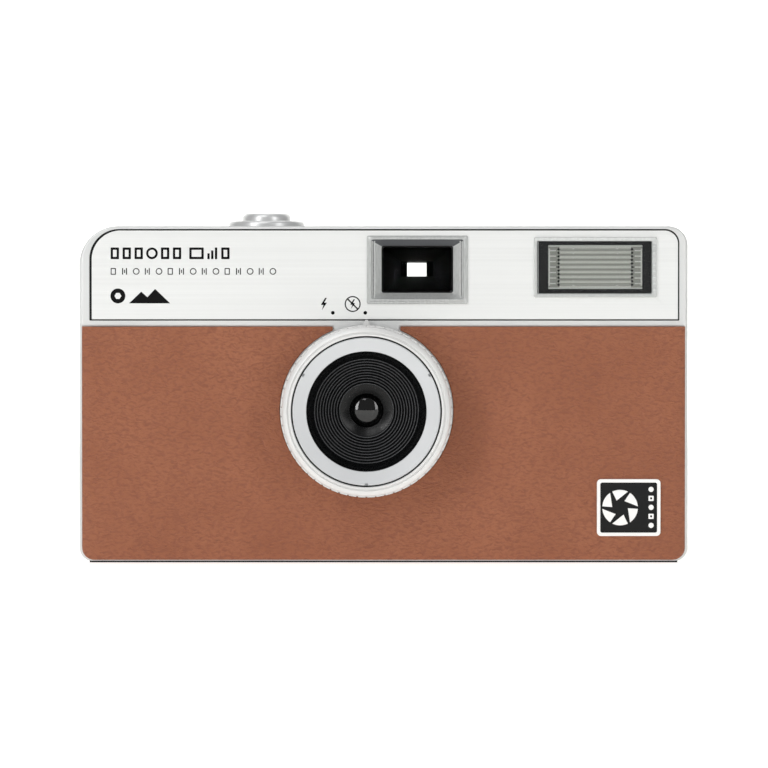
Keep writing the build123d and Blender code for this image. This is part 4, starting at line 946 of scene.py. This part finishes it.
def ribTree():
    # rings of round wire stepping down the hood
    tree = ringTree("hoodRibs")
    defaults = {"Count": ("NodeSocketInt", 10), "Outer Radius": ("NodeSocketFloat", 0.009),
                "Inner Radius": ("NodeSocketFloat", 0.005), "Front": ("NodeSocketFloat", 0.016),
                "Back": ("NodeSocketFloat", 0.012), "Wire": ("NodeSocketFloat", 0.00013)}
    names = {label: addInput(tree, label, kind, value) for label, (kind, value) in defaults.items()}
    given = addNode(tree, "NodeGroupInput").outputs
    points = addNode(tree, "GeometryNodeMeshLine", {"Count": given["Count"], "Offset": (0, 0, 0.001)})
    order = addNode(tree, "GeometryNodeInputIndex").outputs["Index"]
    last = addNode(tree, "ShaderNodeMath", {0: given["Count"], 1: 1.0}, operation="SUBTRACT")
    share = addNode(tree, "ShaderNodeMath", {0: order, 1: last.outputs["Value"]}, operation="DIVIDE")
    radius = addNode(tree, "ShaderNodeMapRange", {"Value": share.outputs["Value"],
                                                 "To Min": given["Outer Radius"],
                                                  "To Max": given["Inner Radius"]})
    depth = addNode(tree, "ShaderNodeMapRange", {"Value": share.outputs["Value"],
                                                "To Min": given["Front"], "To Max": given["Back"]})
    height = addNode(tree, "ShaderNodeCombineXYZ", {"Z": depth.outputs["Result"]})
    moved = addNode(tree, "GeometryNodeSetPosition", {"Geometry": points.outputs["Mesh"],
                                                     "Position": height.outputs["Vector"]})
    kept = addNode(tree, "GeometryNodeCaptureAttribute", {"Geometry": moved.outputs["Geometry"]})
    kept.capture_items.new("FLOAT", "size")
    tree.links.new(radius.outputs["Result"], kept.inputs["size"])
    loop = addNode(tree, "GeometryNodeCurvePrimitiveCircle", {"Radius": 1.0, "Resolution": 144})
    spread = addNode(tree, "ShaderNodeCombineXYZ", {"X": kept.outputs["size"],
                                                    "Y": kept.outputs["size"], "Z": 1.0})
    copies = addNode(tree, "GeometryNodeInstanceOnPoints",
                     {"Points": kept.outputs["Geometry"], "Instance": loop.outputs["Curve"],
                      "Scale": spread.outputs["Vector"]})
    real = addNode(tree, "GeometryNodeRealizeInstances", {"Geometry": copies.outputs["Instances"]})
    section = addNode(tree, "GeometryNodeCurvePrimitiveCircle", {"Radius": given["Wire"], "Resolution": 8})
    wires = addNode(tree, "GeometryNodeCurveToMesh", {"Curve": real.outputs["Geometry"],
                                                     "Profile Curve": section.outputs["Curve"]})
    placed = addNode(tree, "GeometryNodeTransform",
                     {"Geometry": wires.outputs["Mesh"], "Rotation": (math.radians(90), 0, 0),
                      "Translation": (lensX, 0, lensZ)})
    painted = addNode(tree, "GeometryNodeSetMaterial", {"Geometry": placed.outputs["Geometry"],
                                                       "Material": ribHighlightGrey})
    addNode(tree, "NodeGroupOutput", {"Geometry": painted.outputs["Geometry"]})
    return tree, names


def makeLensBarrel():
    low, high = mmBox("lens_barrel")
    s = hoodShape
    seat = -10.5 * mm
    outer = (high.x - low.x) / 2
    front = low.y
    step = 0.16 * mm
    section = [(outer, front), (s["mouth"], front), (s["mouth"] - 0.12 * mm, front + 0.1 * mm),
               (s["mouth"] - 0.5 * mm, front + 1.0 * mm),
               (s["bandInner"] + 0.45 * mm, s["ribFront"] - 0.25 * mm),
               (s["bandInner"] + 0.16 * mm, s["ribFront"]),
               (s["bandInner"] + 0.1 * mm, s["ribFront"] + step),
               (s["ribInner"] + 0.12 * mm, s["ribBack"] + step),
               (s["ribInner"] - 0.1 * mm, s["ribBack"] + 0.05 * mm),
               (s["ribInner"] - 0.3 * mm, s["ribBack"] + 0.1 * mm),
               (s["lensRadius"] + 0.25 * mm, seat - 0.14 * mm),
               (s["lensRadius"], seat), (s["lensRadius"], seat + 0.3 * mm), (4.3 * mm, seat + 0.3 * mm),
               (4.3 * mm, high.y), (11.9 * mm, high.y), (11.9 * mm, -10.4 * mm), (outer, -10.4 * mm)]
    body = turnedPiece("barrelBody", section, 192)
    tree, names = ribTree()
    ribs = meshFromTree("hoodRibs", tree, {
        names["Count"]: s["ribCount"], names["Outer Radius"]: s["bandInner"],
        names["Inner Radius"]: s["ribInner"],
        names["Front"]: -s["ribFront"], names["Back"]: -s["ribBack"], names["Wire"]: s["wire"]})
    finishPiece(body, "camera_body", hoodBlack, ["lens_barrel"], 35)
    finishPiece(ribs, "camera_body", ribHighlightGrey, (), 60)


def makeFrontLens():
    low, high = mmBox("front_lens")
    half, height = 3.02 * mm, 0.95 * mm
    bend = (half ** 2 + height ** 2) / (2 * height)
    section = [(0.0, low.y)]
    for i in range(1, 25):
        angle = math.asin(half / bend) * i / 24
        section.append((bend * math.sin(angle), low.y + bend * (1 - math.cos(angle))))
    section += [(4.2 * mm, section[-1][1] + 0.03 * mm), (4.2 * mm, high.y), (0.0, high.y)]
    lens = turnedPiece("frontLens", section, 96, closed=False)
    finishPiece(lens, "camera_body", darkTintedGlass, ["front_lens"], 40)


# the ring is a shade paler than the disc inside it, and both keep a soft even sheen
ringPaint = satinSilverPaint("ringSilverPaint", "#DEDEDD", "#E8E8E7", 0.34, 0.15)
trimPaint = satinSilverPaint("trimSilverPaint", "#CACCCE", "#D2D4D6", 0.42, 0.05)
# satin black hood; its ribs are given a paler grey as a painted highlight, so that they read as thin bright
# rings
hoodBlack = mouldedBlack("hoodBlackSatin", "#060708", 0.28, 0.1)
ribHighlightGrey = mouldedBlack("hoodRibPaintedHighlight", "#525355", 0.3, 0.05)
# tinted almost black as painted shade, in place of the dark inside seen through a clear lens, so that it
# shows clean reflections and hides what lies behind it
darkTintedGlass, _, _ = newMaterial("lensGlassPaintedDark", "#101114", 0.0, Transmission_Weight=1.0, IOR=1.62)
makeFlashRing()
makeLensTrim()
makeLensBarrel()
makeFrontLens()
print("lens and ring made")


# Viewfinder

finderShape = {"mouthWidth": 16.6 * mm, "mouthHeight": 10.7 * mm, "throatWidth": 12.9 * mm,
               "throatHeight": 8.5 * mm, "throatDepth": 1.75 * mm, "lift": 0.1 * mm,
               "cupBend": 19.2 * mm, "cupZ": 49.4 * mm,
               "seatY": -10.35 * mm, "bodyWidth": 15.2 * mm, "bodyHeight": 10.8 * mm,
               "stopWidth": 5.6 * mm, "stopHeight": 4.35 * mm}


def rectLoft(name, rings, steps=6, closed=True):
    # rings: (centre x, centre z, width, height, corner radius, y), joined in order
    work = bmesh.new()
    loops = []
    for x, z, width, height, radius, y in rings:
        loop = roundedLoop(x - width / 2, x + width / 2, z - height / 2, z + height / 2,
                           [max(radius, 1e-5)] * 4, steps)
        loops.append([work.verts.new((px, y, pz)) for px, pz in loop])
    pairs = list(zip(loops, loops[1:])) + ([(loops[-1], loops[0])] if closed else [])
    for a, b in pairs:
        for i in range(len(a)):
            j = (i + 1) % len(a)
            work.faces.new((a[i], a[j], b[j], b[i]))
    bmesh.ops.recalc_face_normals(work, faces=work.faces)
    mesh = bpy.data.meshes.new(name)
    work.to_mesh(mesh)
    work.free()
    return newPiece(name, mesh)


def makeViewfinder():
    low, high = mmBox("viewfinder_bezel")
    s = finderShape
    x, z = (low.x + high.x) / 2, (low.z + high.z) / 2
    width, height, front = high.x - low.x, high.z - low.z, low.y
    up = z + s["lift"]
    lip = 0.55 * mm
    rings = [
        (x, z, s["bodyWidth"], s["bodyHeight"], 0.2 * mm, high.y),
        (x, z, s["bodyWidth"], s["bodyHeight"], 0.2 * mm, s["seatY"]),
        (x, z, width, height, 0.3 * mm, s["seatY"]),
        (x, z, width, height, 0.3 * mm, front + 0.3 * mm),
        (x, z, width - 0.3 * mm, height - 0.3 * mm, 0.3 * mm, front + 0.12 * mm),
        (x, up, s["mouthWidth"] + 2 * lip, s["mouthHeight"] + 2 * lip, 0.3 * mm, front + 0.2 * mm),
        (x, up, s["mouthWidth"] + lip, s["mouthHeight"] + lip, 0.4 * mm, front),
        (x, up, s["mouthWidth"] + 0.2 * lip, s["mouthHeight"] + 0.2 * lip, 0.4 * mm, front),
        (x, up, s["mouthWidth"], s["mouthHeight"], 0.4 * mm, front + 0.12 * mm),
        (x, up, s["mouthWidth"] - 0.12 * mm, s["mouthHeight"] - 0.12 * mm, 0.4 * mm, front + 0.32 * mm),
        (x, up, s["throatWidth"] + 0.14 * mm, s["throatHeight"] + 0.14 * mm, 0.4 * mm,
         front + s["throatDepth"]),
        (x, up, s["throatWidth"], s["throatHeight"], 0.4 * mm, front + s["throatDepth"] + 0.1 * mm),
        (x, up, s["throatWidth"], s["throatHeight"], 0.4 * mm, high.y),
    ]
    bezel = rectLoft("finderBezel", rings)
    finishPiece(bezel, "camera_body", bezelGrey, ["viewfinder_bezel"], 20)
    # painted shade: the slope under the top edge, which faces down, gets a darker grey-black in place of
    # the shade that falls there
    bezel.data.materials.append(topSlopeShade)
    for face in bezel.data.polygons:
        if face.normal.z < -0.3 and face.center.z > z and face.center.y > front + 0.2 * mm:
            face.material_index = 1
    # black throat sleeve behind the sloped mouth
    sleeve = rectLoft("finderSleeve", [
        (x, up, s["throatWidth"] - 0.02 * mm, s["throatHeight"] - 0.02 * mm, 0.4 * mm,
         front + s["throatDepth"] + 0.12 * mm),
        (x, up, s["throatWidth"] - 0.5 * mm, s["throatHeight"] - 0.5 * mm, 0.4 * mm,
         front + s["throatDepth"] + 0.3 * mm),
        (x, up, s["throatWidth"] - 0.5 * mm, s["throatHeight"] - 0.5 * mm, 0.4 * mm, high.y),
        (x, up, s["throatWidth"] - 0.02 * mm, s["throatHeight"] - 0.02 * mm, 0.4 * mm, high.y)])
    finishPiece(sleeve, "camera_body", glossBlack, (), 30)


def makeFinderTube():
    # stepped light-tight tube, with a field stop in front of the eyepiece
    low, high = mmBox("viewfinder_tube")
    eyeLow, eyeHigh = mmBox("viewfinder_rear_lens")
    eyeX, eyeZ = (eyeLow.x + eyeHigh.x) / 2, (eyeLow.z + eyeHigh.z) / 2
    x = (low.x + high.x) / 2
    lensLow, lensHigh = mmBox("viewfinder_front_lens")
    z = (lensLow.z + lensHigh.z) / 2
    stopWidth, stopHeight = finderShape["stopWidth"], finderShape["stopHeight"]
    rings = [(x, z, 14.6 * mm, 10.0 * mm, 0.2 * mm, low.y),
             (eyeX, eyeZ, 11.0 * mm, 5.4 * mm, 0.2 * mm, high.y),
             (eyeX, eyeZ, stopWidth, stopHeight, 0.15 * mm, high.y),
             (eyeX, eyeZ, stopWidth, stopHeight, 0.15 * mm, high.y - 0.4 * mm),
             (eyeX, eyeZ, 9.4 * mm, 4.5 * mm, 0.3 * mm, high.y - 0.4 * mm),
             (x, z, 13.2 * mm, 8.6 * mm, 0.3 * mm, low.y)]
    tube = rectLoft("finderTube", rings)
    finishPiece(tube, "camera_body", tubeBlack, ["viewfinder_tube"], 30)


def makeFinderLens():
    # hollow-ground front lens: its back is a shallow spherical cup, set below centre for the looks
    low, high = mmBox("viewfinder_front_lens")
    s = finderShape
    x, z = (low.x + high.x) / 2, (low.z + high.z) / 2
    halfWidth, halfHeight = 6.3 * mm, 4.1 * mm
    bend, centreZ = s["cupBend"], s["cupZ"]
    columns, rows = 40, 28
    work = bmesh.new()
    backs, fronts = [], []
    for j in range(rows + 1):
        for i in range(columns + 1):
            px = x - halfWidth + 2 * halfWidth * i / columns
            pz = z - halfHeight + 2 * halfHeight * j / rows
            away = (px - x) ** 2 + (pz - centreZ) ** 2
            backs.append(work.verts.new((px, low.y + 0.35 * mm + bend - math.sqrt(bend ** 2 - away), pz)))
            fronts.append(work.verts.new((px, low.y, pz)))
    wide = columns + 1
    for j in range(rows):
        for i in range(columns):
            a, b = j * wide + i, j * wide + i + 1
            work.faces.new((fronts[a], fronts[b], fronts[b + wide], fronts[a + wide]))
            work.faces.new((backs[a], backs[a + wide], backs[b + wide], backs[b]))
    edge = ([j * wide for j in range(rows + 1)] + [rows * wide + i for i in range(1, columns + 1)]
            + [j * wide + columns for j in range(rows - 1, -1, -1)] + [i for i in range(columns - 1, 0,
                                                                                        -1)])
    for a, b in zip(edge, edge[1:] + edge[:1]):
        work.faces.new((fronts[a], fronts[b], backs[b], backs[a]))
    bmesh.ops.recalc_face_normals(work, faces=work.faces)
    mesh = bpy.data.meshes.new("finderLens")
    work.to_mesh(mesh)
    work.free()
    lens = newPiece("finderLens", mesh)
    finishPiece(lens, "camera_body", finderGlass, ["viewfinder_front_lens"], 40)


# painted shade in dull grey-black for the bezel's top slope, then a smoother black sleeve and dead matt
# tunnel
topSlopeShade = mouldedBlack("paintedShadeGreyBlack", "#5E6063", 0.4, 0.1)
glossBlack, _, _ = newMaterial("glossBlackSleeve", "#08090A", 0.2, Specular_IOR_Level=0.3)
tubeBlack, _, _ = newMaterial("tubeBlackMatt", "#050506", 0.8, Specular_IOR_Level=0.1)
# clear glass whose reflections are dimmed, as an anti-glare coating does
finderGlass, _, finderShader = newMaterial("finderGlass", "#FFFFFF", 0.0)
finderShader.inputs["Transmission Weight"].default_value = 1.0
finderShader.inputs["IOR"].default_value = 1.49
finderShader.inputs["Specular Tint"].default_value = hexColour("#303038")
makeViewfinder()
makeFinderTube()
makeFinderLens()
print("viewfinder made")


# Flash

flashShape = {
    "frame": 0.80 * mm, "shift": -0.18 * mm, "blockCount": 8, "maskWidth": 17.1 * mm,
    "maskHeight": 8.15 * mm,
    "panelY": -9.15 * mm, "ribCount": 9, "ribWidth": 12.9 * mm, "seatY": -10.35 * mm,
    "backY": -9.5 * mm, "toothCount": 11,
    "sparkRows": 9,
}


def lineTree(name, label, item, material):
    # one item repeated on a line; the item reads its own sizes from the group's inputs
    tree = ringTree(name)
    names = {key: addInput(tree, key, kind, value) for key, (kind, value) in label.items()}
    given = addNode(tree, "NodeGroupInput").outputs
    line = addNode(tree, "GeometryNodeMeshLine", {"Count": given["Count"], "Start Location": given["Start"],
                                                 "Offset": given["Step"]})
    shape = item(tree, given)
    copies = addNode(tree, "GeometryNodeInstanceOnPoints",
                     {"Points": line.outputs["Mesh"], "Instance": shape})
    real = addNode(tree, "GeometryNodeRealizeInstances", {"Geometry": copies.outputs["Instances"]})
    painted = addNode(tree, "GeometryNodeSetMaterial", {"Geometry": real.outputs["Geometry"],
                                                       "Material": material})
    addNode(tree, "NodeGroupOutput", {"Geometry": painted.outputs["Geometry"]})
    return tree, names


def roundBar(tree, given):
    bar = addNode(tree, "GeometryNodeMeshCylinder", {"Vertices": 10, "Radius": 1.0, "Depth": 1.0})
    size = addNode(tree, "ShaderNodeCombineXYZ", {"X": given["Height"], "Y": given["Depth"],
                                                  "Z": given["Width"]})
    sized = addNode(tree, "GeometryNodeTransform", {"Geometry": bar.outputs["Mesh"],
                                                   "Scale": size.outputs["Vector"]})
    return addNode(tree, "GeometryNodeTransform", {"Geometry": sized.outputs["Geometry"],
                                                  "Rotation": (0, math.radians(90), 0)}).outputs["Geometry"]


def pyramid(tree, given):
    cone = addNode(tree, "GeometryNodeMeshCone", {"Vertices": 4, "Radius Top": 0.0, "Radius Bottom": 1.0,
                                                 "Depth": 1.0})
    size = addNode(tree, "ShaderNodeCombineXYZ", {"X": given["Width"], "Y": given["Height"],
                                                  "Z": given["Depth"]})
    sized = addNode(tree, "GeometryNodeTransform", {"Geometry": cone.outputs["Mesh"],
                                                   "Scale": size.outputs["Vector"]})
    return addNode(tree, "GeometryNodeTransform", {"Geometry": sized.outputs["Geometry"],
                                                  "Rotation": (math.radians(90), 0, 0)}).outputs["Geometry"]


def repeatOnLine(name, item, material, count, start, step, height, depth, width):
    label = {"Count": ("NodeSocketInt", 8), "Start": ("NodeSocketVector", (0, 0, 0)),
             "Step": ("NodeSocketVector", (0, 0, 0.001)), "Height": ("NodeSocketFloat", 0.0004),
             "Depth": ("NodeSocketFloat", 0.0002), "Width": ("NodeSocketFloat", 0.01)}
    tree, names = lineTree(name, label, item, material)
    return meshFromTree(name, tree, {names["Count"]: count, names["Start"]: start, names["Step"]: step,
                                     names["Height"]: height, names["Depth"]: depth, names["Width"]: width})


def makeFlash():
    low, high = mmBox("flash_window")
    s = flashShape
    x, z = (low.x + high.x) / 2, (low.z + high.z) / 2
    width, height = high.x - low.x, high.z - low.z
    front = low.y
    frame = s["frame"]
    innerX, innerWidth, innerHeight = x + s["shift"], width - 2 * frame, height - 2 * frame
    # the window's bright moulded rim
    rim = rectLoft("flashRim", [
        (x, z, width - 1.6 * mm, height - 1.4 * mm, 0.2 * mm, s["backY"]),
        (x, z, width - 1.6 * mm, height - 1.4 * mm, 0.2 * mm, s["seatY"]),
        (x, z, width, height, 0.3 * mm, s["seatY"]),
        (x, z, width, height, 0.3 * mm, front + 0.18 * mm),
        (x, z, width - 0.25 * mm, height - 0.25 * mm, 0.3 * mm, front),
        (innerX, z, innerWidth + 0.3 * mm, innerHeight + 0.3 * mm, 0.25 * mm, front + 0.02 * mm),
        (innerX, z, innerWidth, innerHeight, 0.2 * mm, front + 0.35 * mm),
        (innerX, z, innerWidth, innerHeight, 0.2 * mm, s["backY"])])
    finishPiece(rim, "camera_body", flashRimGrey, ["flash_window"], 25)
    blocks = repeatOnLine("rimBlocks", roundBar, bezelGrey, s["blockCount"],
                          (x + width / 2 - 0.48 * mm, front + 0.02 * mm, z - innerHeight * 0.42),
                          (0, 0, innerHeight * 0.84 / (s["blockCount"] - 1)), 0.28 * mm, 0.05 * mm,
                          0.5 * mm)
    finishPiece(blocks, "camera_body", bezelGrey, (), 60)
    pane = boxPiece("flashPane", (innerX - innerWidth / 2, front + 0.25 * mm, z - innerHeight / 2),
                    (innerX + innerWidth / 2, front + 0.75 * mm, z + innerHeight / 2), 0)
    finishPiece(pane, "camera_body", clearAcrylic)
    # black mask around the light panel
    mask = rectLoft("flashMask", [
        (x, z, 20.4 * mm, 9.4 * mm, 0.1 * mm, -8.8 * mm), (x, z, 20.4 * mm, 9.4 * mm, 0.1 * mm, -9.4 * mm),
        (x, z + 0.05 * mm, s["maskWidth"], s["maskHeight"], 0.3 * mm, -9.4 * mm),
        (x, z + 0.05 * mm, s["maskWidth"] - 0.1 * mm, s["maskHeight"] - 0.1 * mm, 0.3 * mm, -8.8 * mm)])
    finishPiece(mask, "camera_body", maskBlack, ["flash_mask"], 30)
    makeLightPanel(x, z + 0.05 * mm)


def makeLightPanel(x, z):
    # reflector seen through its ribbed lens: dull middle, and folded ends made bright with painted
    # highlights
    s = flashShape
    y = s["panelY"]
    width, height = s["maskWidth"] - 0.15 * mm, s["maskHeight"] - 0.15 * mm
    back = boxPiece("reflectorPanel", (x - width / 2, y, z - height / 2),
                    (x + width / 2, y + 0.3 * mm, z + height / 2), 0.05 * mm)
    shellLow, shellHigh = mmBox("flash_reflector")
    shell = boxPiece("reflectorShell", (shellLow.x, shellLow.y + 0.1 * mm, shellLow.z),
                     tuple(shellHigh), 0.4 * mm)
    panel = joinPieces("flashReflector", [back, shell])
    finishPiece(panel, "camera_body", warmReflector, ["flash_reflector", "flash_tube"], 30)
    pitch = height / s["ribCount"]
    ribs = repeatOnLine("flashRibs", roundBar, ribHighlight, s["ribCount"],
                        (x, y + 0.02 * mm, z - height / 2 + pitch / 2), (0, 0, pitch), pitch * 0.28,
                        0.16 * mm,
                        s["ribWidth"])
    glints = repeatOnLine("flashGlints", roundBar, paleGlint, 5,
                          (x, y - 0.02 * mm, z - height / 2 + pitch), (0, 0, pitch * 1.75), 0.045 * mm,
                          0.16 * mm, s["ribWidth"])
    edges = [boxPiece("panelEdge", (x - width / 2, y - 0.2 * mm,
                                    z + side * (height / 2 - 0.2 * mm) - 0.13 * mm),
                      (x + width / 2, y + 0.1 * mm, z + side * (height / 2 - 0.2 * mm) + 0.13 * mm),
                      0.05 * mm)
             for side in (-1, 1)]
    brights = [glints, *edges]
    darks = []
    for side in (-1, 1):
        endX = x + side * (width / 2 - 0.17 * mm)
        brights.append(boxPiece("endEdge", (endX - 0.14 * mm, y - 0.22 * mm, z - height * 0.42),
                                (endX + 0.14 * mm, y + 0.1 * mm, z + height * 0.42), 0.06 * mm))
        zoneX = x + side * (s["ribWidth"] / 2 + 0.15 * mm)
        darks.append(repeatOnLine("flashTeeth", pyramid, maskBlack, s["toothCount"],
                                  (zoneX, y - 0.08 * mm, z - height * 0.40), (0, 0, height * 0.8 / 10),
                                  0.26 * mm, 0.12 * mm, 0.30 * mm))
        brights.append(repeatOnLine("flashHatchHighlight", roundBar, paleGlint, 7,
                                    (x + side * (s["ribWidth"] / 2 + 1.25 * mm), y, z - height * 0.37),
                                    (0, 0, height * 0.74 / 6), 0.13 * mm, 0.14 * mm, 1.25 * mm))
        brights.append(repeatOnLine("flashSparkHighlights", pyramid, paleGlint, s["sparkRows"],
                                    (x + side * 3.95 * mm, y - 0.16 * mm, z - height * 0.42),
                                    (0, 0, height * 0.84 / (s["sparkRows"] - 1)), 0.2 * mm, 0.1 * mm,
                                    0.3 * mm))
        darks.append(boxPiece("tubeSlot", (endX - side * 0.9 * mm - 0.9 * mm, y - 0.1 * mm, z - 0.08 * mm),
                              (endX - side * 0.9 * mm + 0.9 * mm, y + 0.1 * mm, z + 0.08 * mm), 0.03 * mm))
    finishPiece(ribs, "camera_body", ribHighlight, (), 60)
    finishPiece(joinPieces("flashBrights", brights), "camera_body", paleGlint, (), 30)
    finishPiece(joinPieces("flashDarks", darks), "camera_body", maskBlack, (), 30)


# pale satin rim around a dark mask
flashRimGrey = greySatin("flashRimPlastic", "#CDCFCE", "#DDDFDE", 0.2)
maskBlack = mouldedBlack("flashMaskBlack", "#08090A", 0.5, 0.1)
# half-metallic grey, standing in for the metallised reflector between the ribs
warmReflector, _, _ = newMaterial("metallisedReflector", "#B4B4AB", 0.4, 0.5)
# painted highlight: opaque pale ribs, standing in for the light caught by the crests of a clear ribbed lens
ribHighlight, _, _ = newMaterial("ribbedLensPaintedHighlight", "#F2F2EA", 0.3)
# painted highlight: opaque near-white, standing in for edges that catch the light
paleGlint, _, _ = newMaterial("paintedHighlightEdge", "#FAFAF4", 0.25)
makeFlash()
print("flash made")


# Release button

buttonShape = {
    "edge": 0.95 * mm, "dish": 0.12 * mm, "capBase": 60.7 * mm, "stem": 1.5 * mm, "collarEdge": 0.62 * mm,
    "coverTop": 60.6 * mm, "wellFloor": 59.1 * mm, "well": 4.56 * mm, "spigot": 4.74 * mm,
    "stemHole": 1.65 * mm,
}


def makeButton():
    low, high = mmBox("shutter_button")
    s = buttonShape
    centre = ((low.x + high.x) / 2, (low.y + high.y) / 2)
    radius = (high.x - low.x) / 2
    crown = [(radius * 0.62, high.z - s["dish"] * 0.4), (radius * 0.3, high.z - s["dish"]),
             (0.0, high.z - s["dish"])]
    section = [(0.0, low.z), (s["stem"], low.z), (s["stem"], s["capBase"]), (radius, s["capBase"]),
               *roundedCorner(radius, high.z, s["edge"]), *crown]
    button = standingPiece("releaseButton", section, centre, closed=False)
    finishPiece(button, "release", platedSatin, ["shutter_button"], 40)
    low, high = mmBox("button_collar")
    radius = (high.x - low.x) / 2
    bore = s["well"]
    section = [(s["spigot"], low.z), (s["spigot"], s["coverTop"]), (radius, s["coverTop"]),
               (radius, s["capBase"]),
               *roundedCorner(radius, high.z, s["collarEdge"]), (bore + 0.16 * mm, high.z),
               (bore + 0.04 * mm, high.z - 0.05 * mm), (bore, high.z - 0.2 * mm), (bore, s["wellFloor"]),
               (s["stemHole"], s["wellFloor"]), (s["stemHole"], low.z)]
    collar = standingPiece("buttonCollar", section, centre)
    finishPiece(collar, "camera_body", platedSatin, ["button_collar"], 40)


# chrome-plated plastic gone satin: a soft sheen with no sharp mirror shapes
platedSatin, _, _ = newMaterial("satinPlate", "#E4E5E5", 0.34, 0.55)
makeButton()
print("button made")


# Painted shade in the gap around the label, and the door's leather

def makeLabelGapShade():
    # painted shade: a thin black strip sunk in the gap around the label, standing in for the shade in that
    # gap
    low, high = mmBox("label_plate")
    gap, depth = 0.23 * mm, 0.25 * mm
    gapShade = cutPlate("labelGapShade", [
        roundedLoop(low.x - gap, high.x + gap, low.z - gap, high.z + 0.18 * mm,
                    [0.15 * mm, 0.15 * mm, 2.55 * mm, 5.3 * mm], 20),
        roundedLoop(low.x + 0.4 * mm, high.x - 0.4 * mm, low.z + 0.4 * mm, high.z - 0.4 * mm,
                    [0.1 * mm, 0.1 * mm, 2.0 * mm, 4.8 * mm], 20)], low.y + depth, high.y - 0.01 * mm,
                    0.02 * mm, 1)
    finishPiece(gapShade, "camera_body", foamAndShadeBlack)


def makeDoorLeather():
    low, high = mmBox("door_leather")
    roll = 1.6 * mm
    outline = roundedLoop(low.x, high.x, low.z, high.z, [1.6 * mm] * 4, 12)
    depth = high.y - low.y
    panel = cutPlate("doorLeather", [outline], -high.y, -high.y + 2 * depth, roll, 6, depth * 0.75 / roll)
    # turned round to face the back
    panel.data.transform(Matrix(((1, 0, 0, 0), (0, -1, 0, 0), (0, 0, 1, 0), (0, 0, 0, 1))))
    panel.data.flip_normals()
    trimBeyond(panel, low.y, -1)
    finishPiece(panel, "door", leather, ["door_leather"], 40)


# dull black: real foam for the light seals, and painted shade for the gap around the label and the line
# under the body
foamAndShadeBlack, _, _ = newMaterial("blackFoamAndPaintedShade", "#101011", 0.8)
makeLabelGapShade()
makeDoorLeather()
print("seal and door leather made")


# CAD nodes that keep their shape

# green solder mask over glass epoxy: slightly glossy
glassEpoxy, _, _ = newMaterial("glassEpoxyBoard", "#1E5A3C", 0.35)
# heat-shrunk PVC: smooth dark blue
shrinkSleeve, _, _ = newMaterial("shrinkSleeve", "#20263A", 0.3)
# polyester winding tape: warm yellow and half glossy
woundTape, _, _ = newMaterial("windingTape", "#D9B24A", 0.4)
# printed steel jacket: a plain copper tone
cellJacket, _, _ = newMaterial("cellJacketPrint", "#B4703A", 0.3, 0.6)
# tinted polystyrene: a small clear amber drop
amberLamp, _, _ = newMaterial("amberPolystyrene", "#F08A28", 0.12, Transmission_Weight=0.4)

contactShadowShape = {"height": 0.28 * mm, "inset": 1.5 * mm, "front": 0.35 * mm, "depth": 3.0 * mm}


def makeContactShadowStrip():
    # painted shadow: a looks-only black strip with no CAD node, giving the dark line of the contact shadow
    # where the body meets its surface
    low, high = mmBox("front_cover")
    s = contactShadowShape
    shadowStrip = boxPiece("contactShadowStrip", (low.x + s["inset"], low.y + s["front"], 0.0),
                    (high.x - s["inset"], low.y + s["front"] + s["depth"], s["height"]), 0)
    finishPiece(shadowStrip, "camera_body", foamAndShadeBlack)


makeContactShadowStrip()

keptNodes = [  # material, nodes
    (silverPaint, ["front_cover", "rear_cover", "back_door", "battery_lid", "door_latch"]),
    (blackPlastic, ["eyepiece_frame", "iris_disc", "lens_retainer", "chassis", "takeup_spool",
                    "sprocket_wheel", "shutter_blade", "shutter_plate", "rewind_fork", "rewind_sleeve",
                    "button_stem", "counter_disc",
                    "advance_wheel", "rewind_button", "strap_cup"]),
    (glassEpoxy, ["circuit_board"]),
    (shrinkSleeve, ["flash_capacitor"]),
    (woundTape, ["flash_transformer"]),
    (cellJacket, ["battery"]),
    (foamAndShadeBlack, ["light_seals"]),
    (amberLamp, ["ready_lamp"]),
    (bezelGrey, ["rewind_knob", "crank_grip"]),
    (clearAcrylic, ["rear_lens", "viewfinder_rear_lens", "counter_window"]),
    (springSteel, ["battery_contact", "battery_spring", "lid_contact", "button_spring", "shutter_pivot",
                   "counter_screw", "door_hinge_pin", "pressure_plate",
                   "pressure_spring", "cover_screws", "crank_pin", "rewind_crank"]),
]


def paintNode(name, material):
    mesh = nodes[name].data
    mesh.materials.clear()
    mesh.materials.append(material)


for material, names in keptNodes:
    for name in names:
        paintNode(name, material)
print("CAD nodes painted")
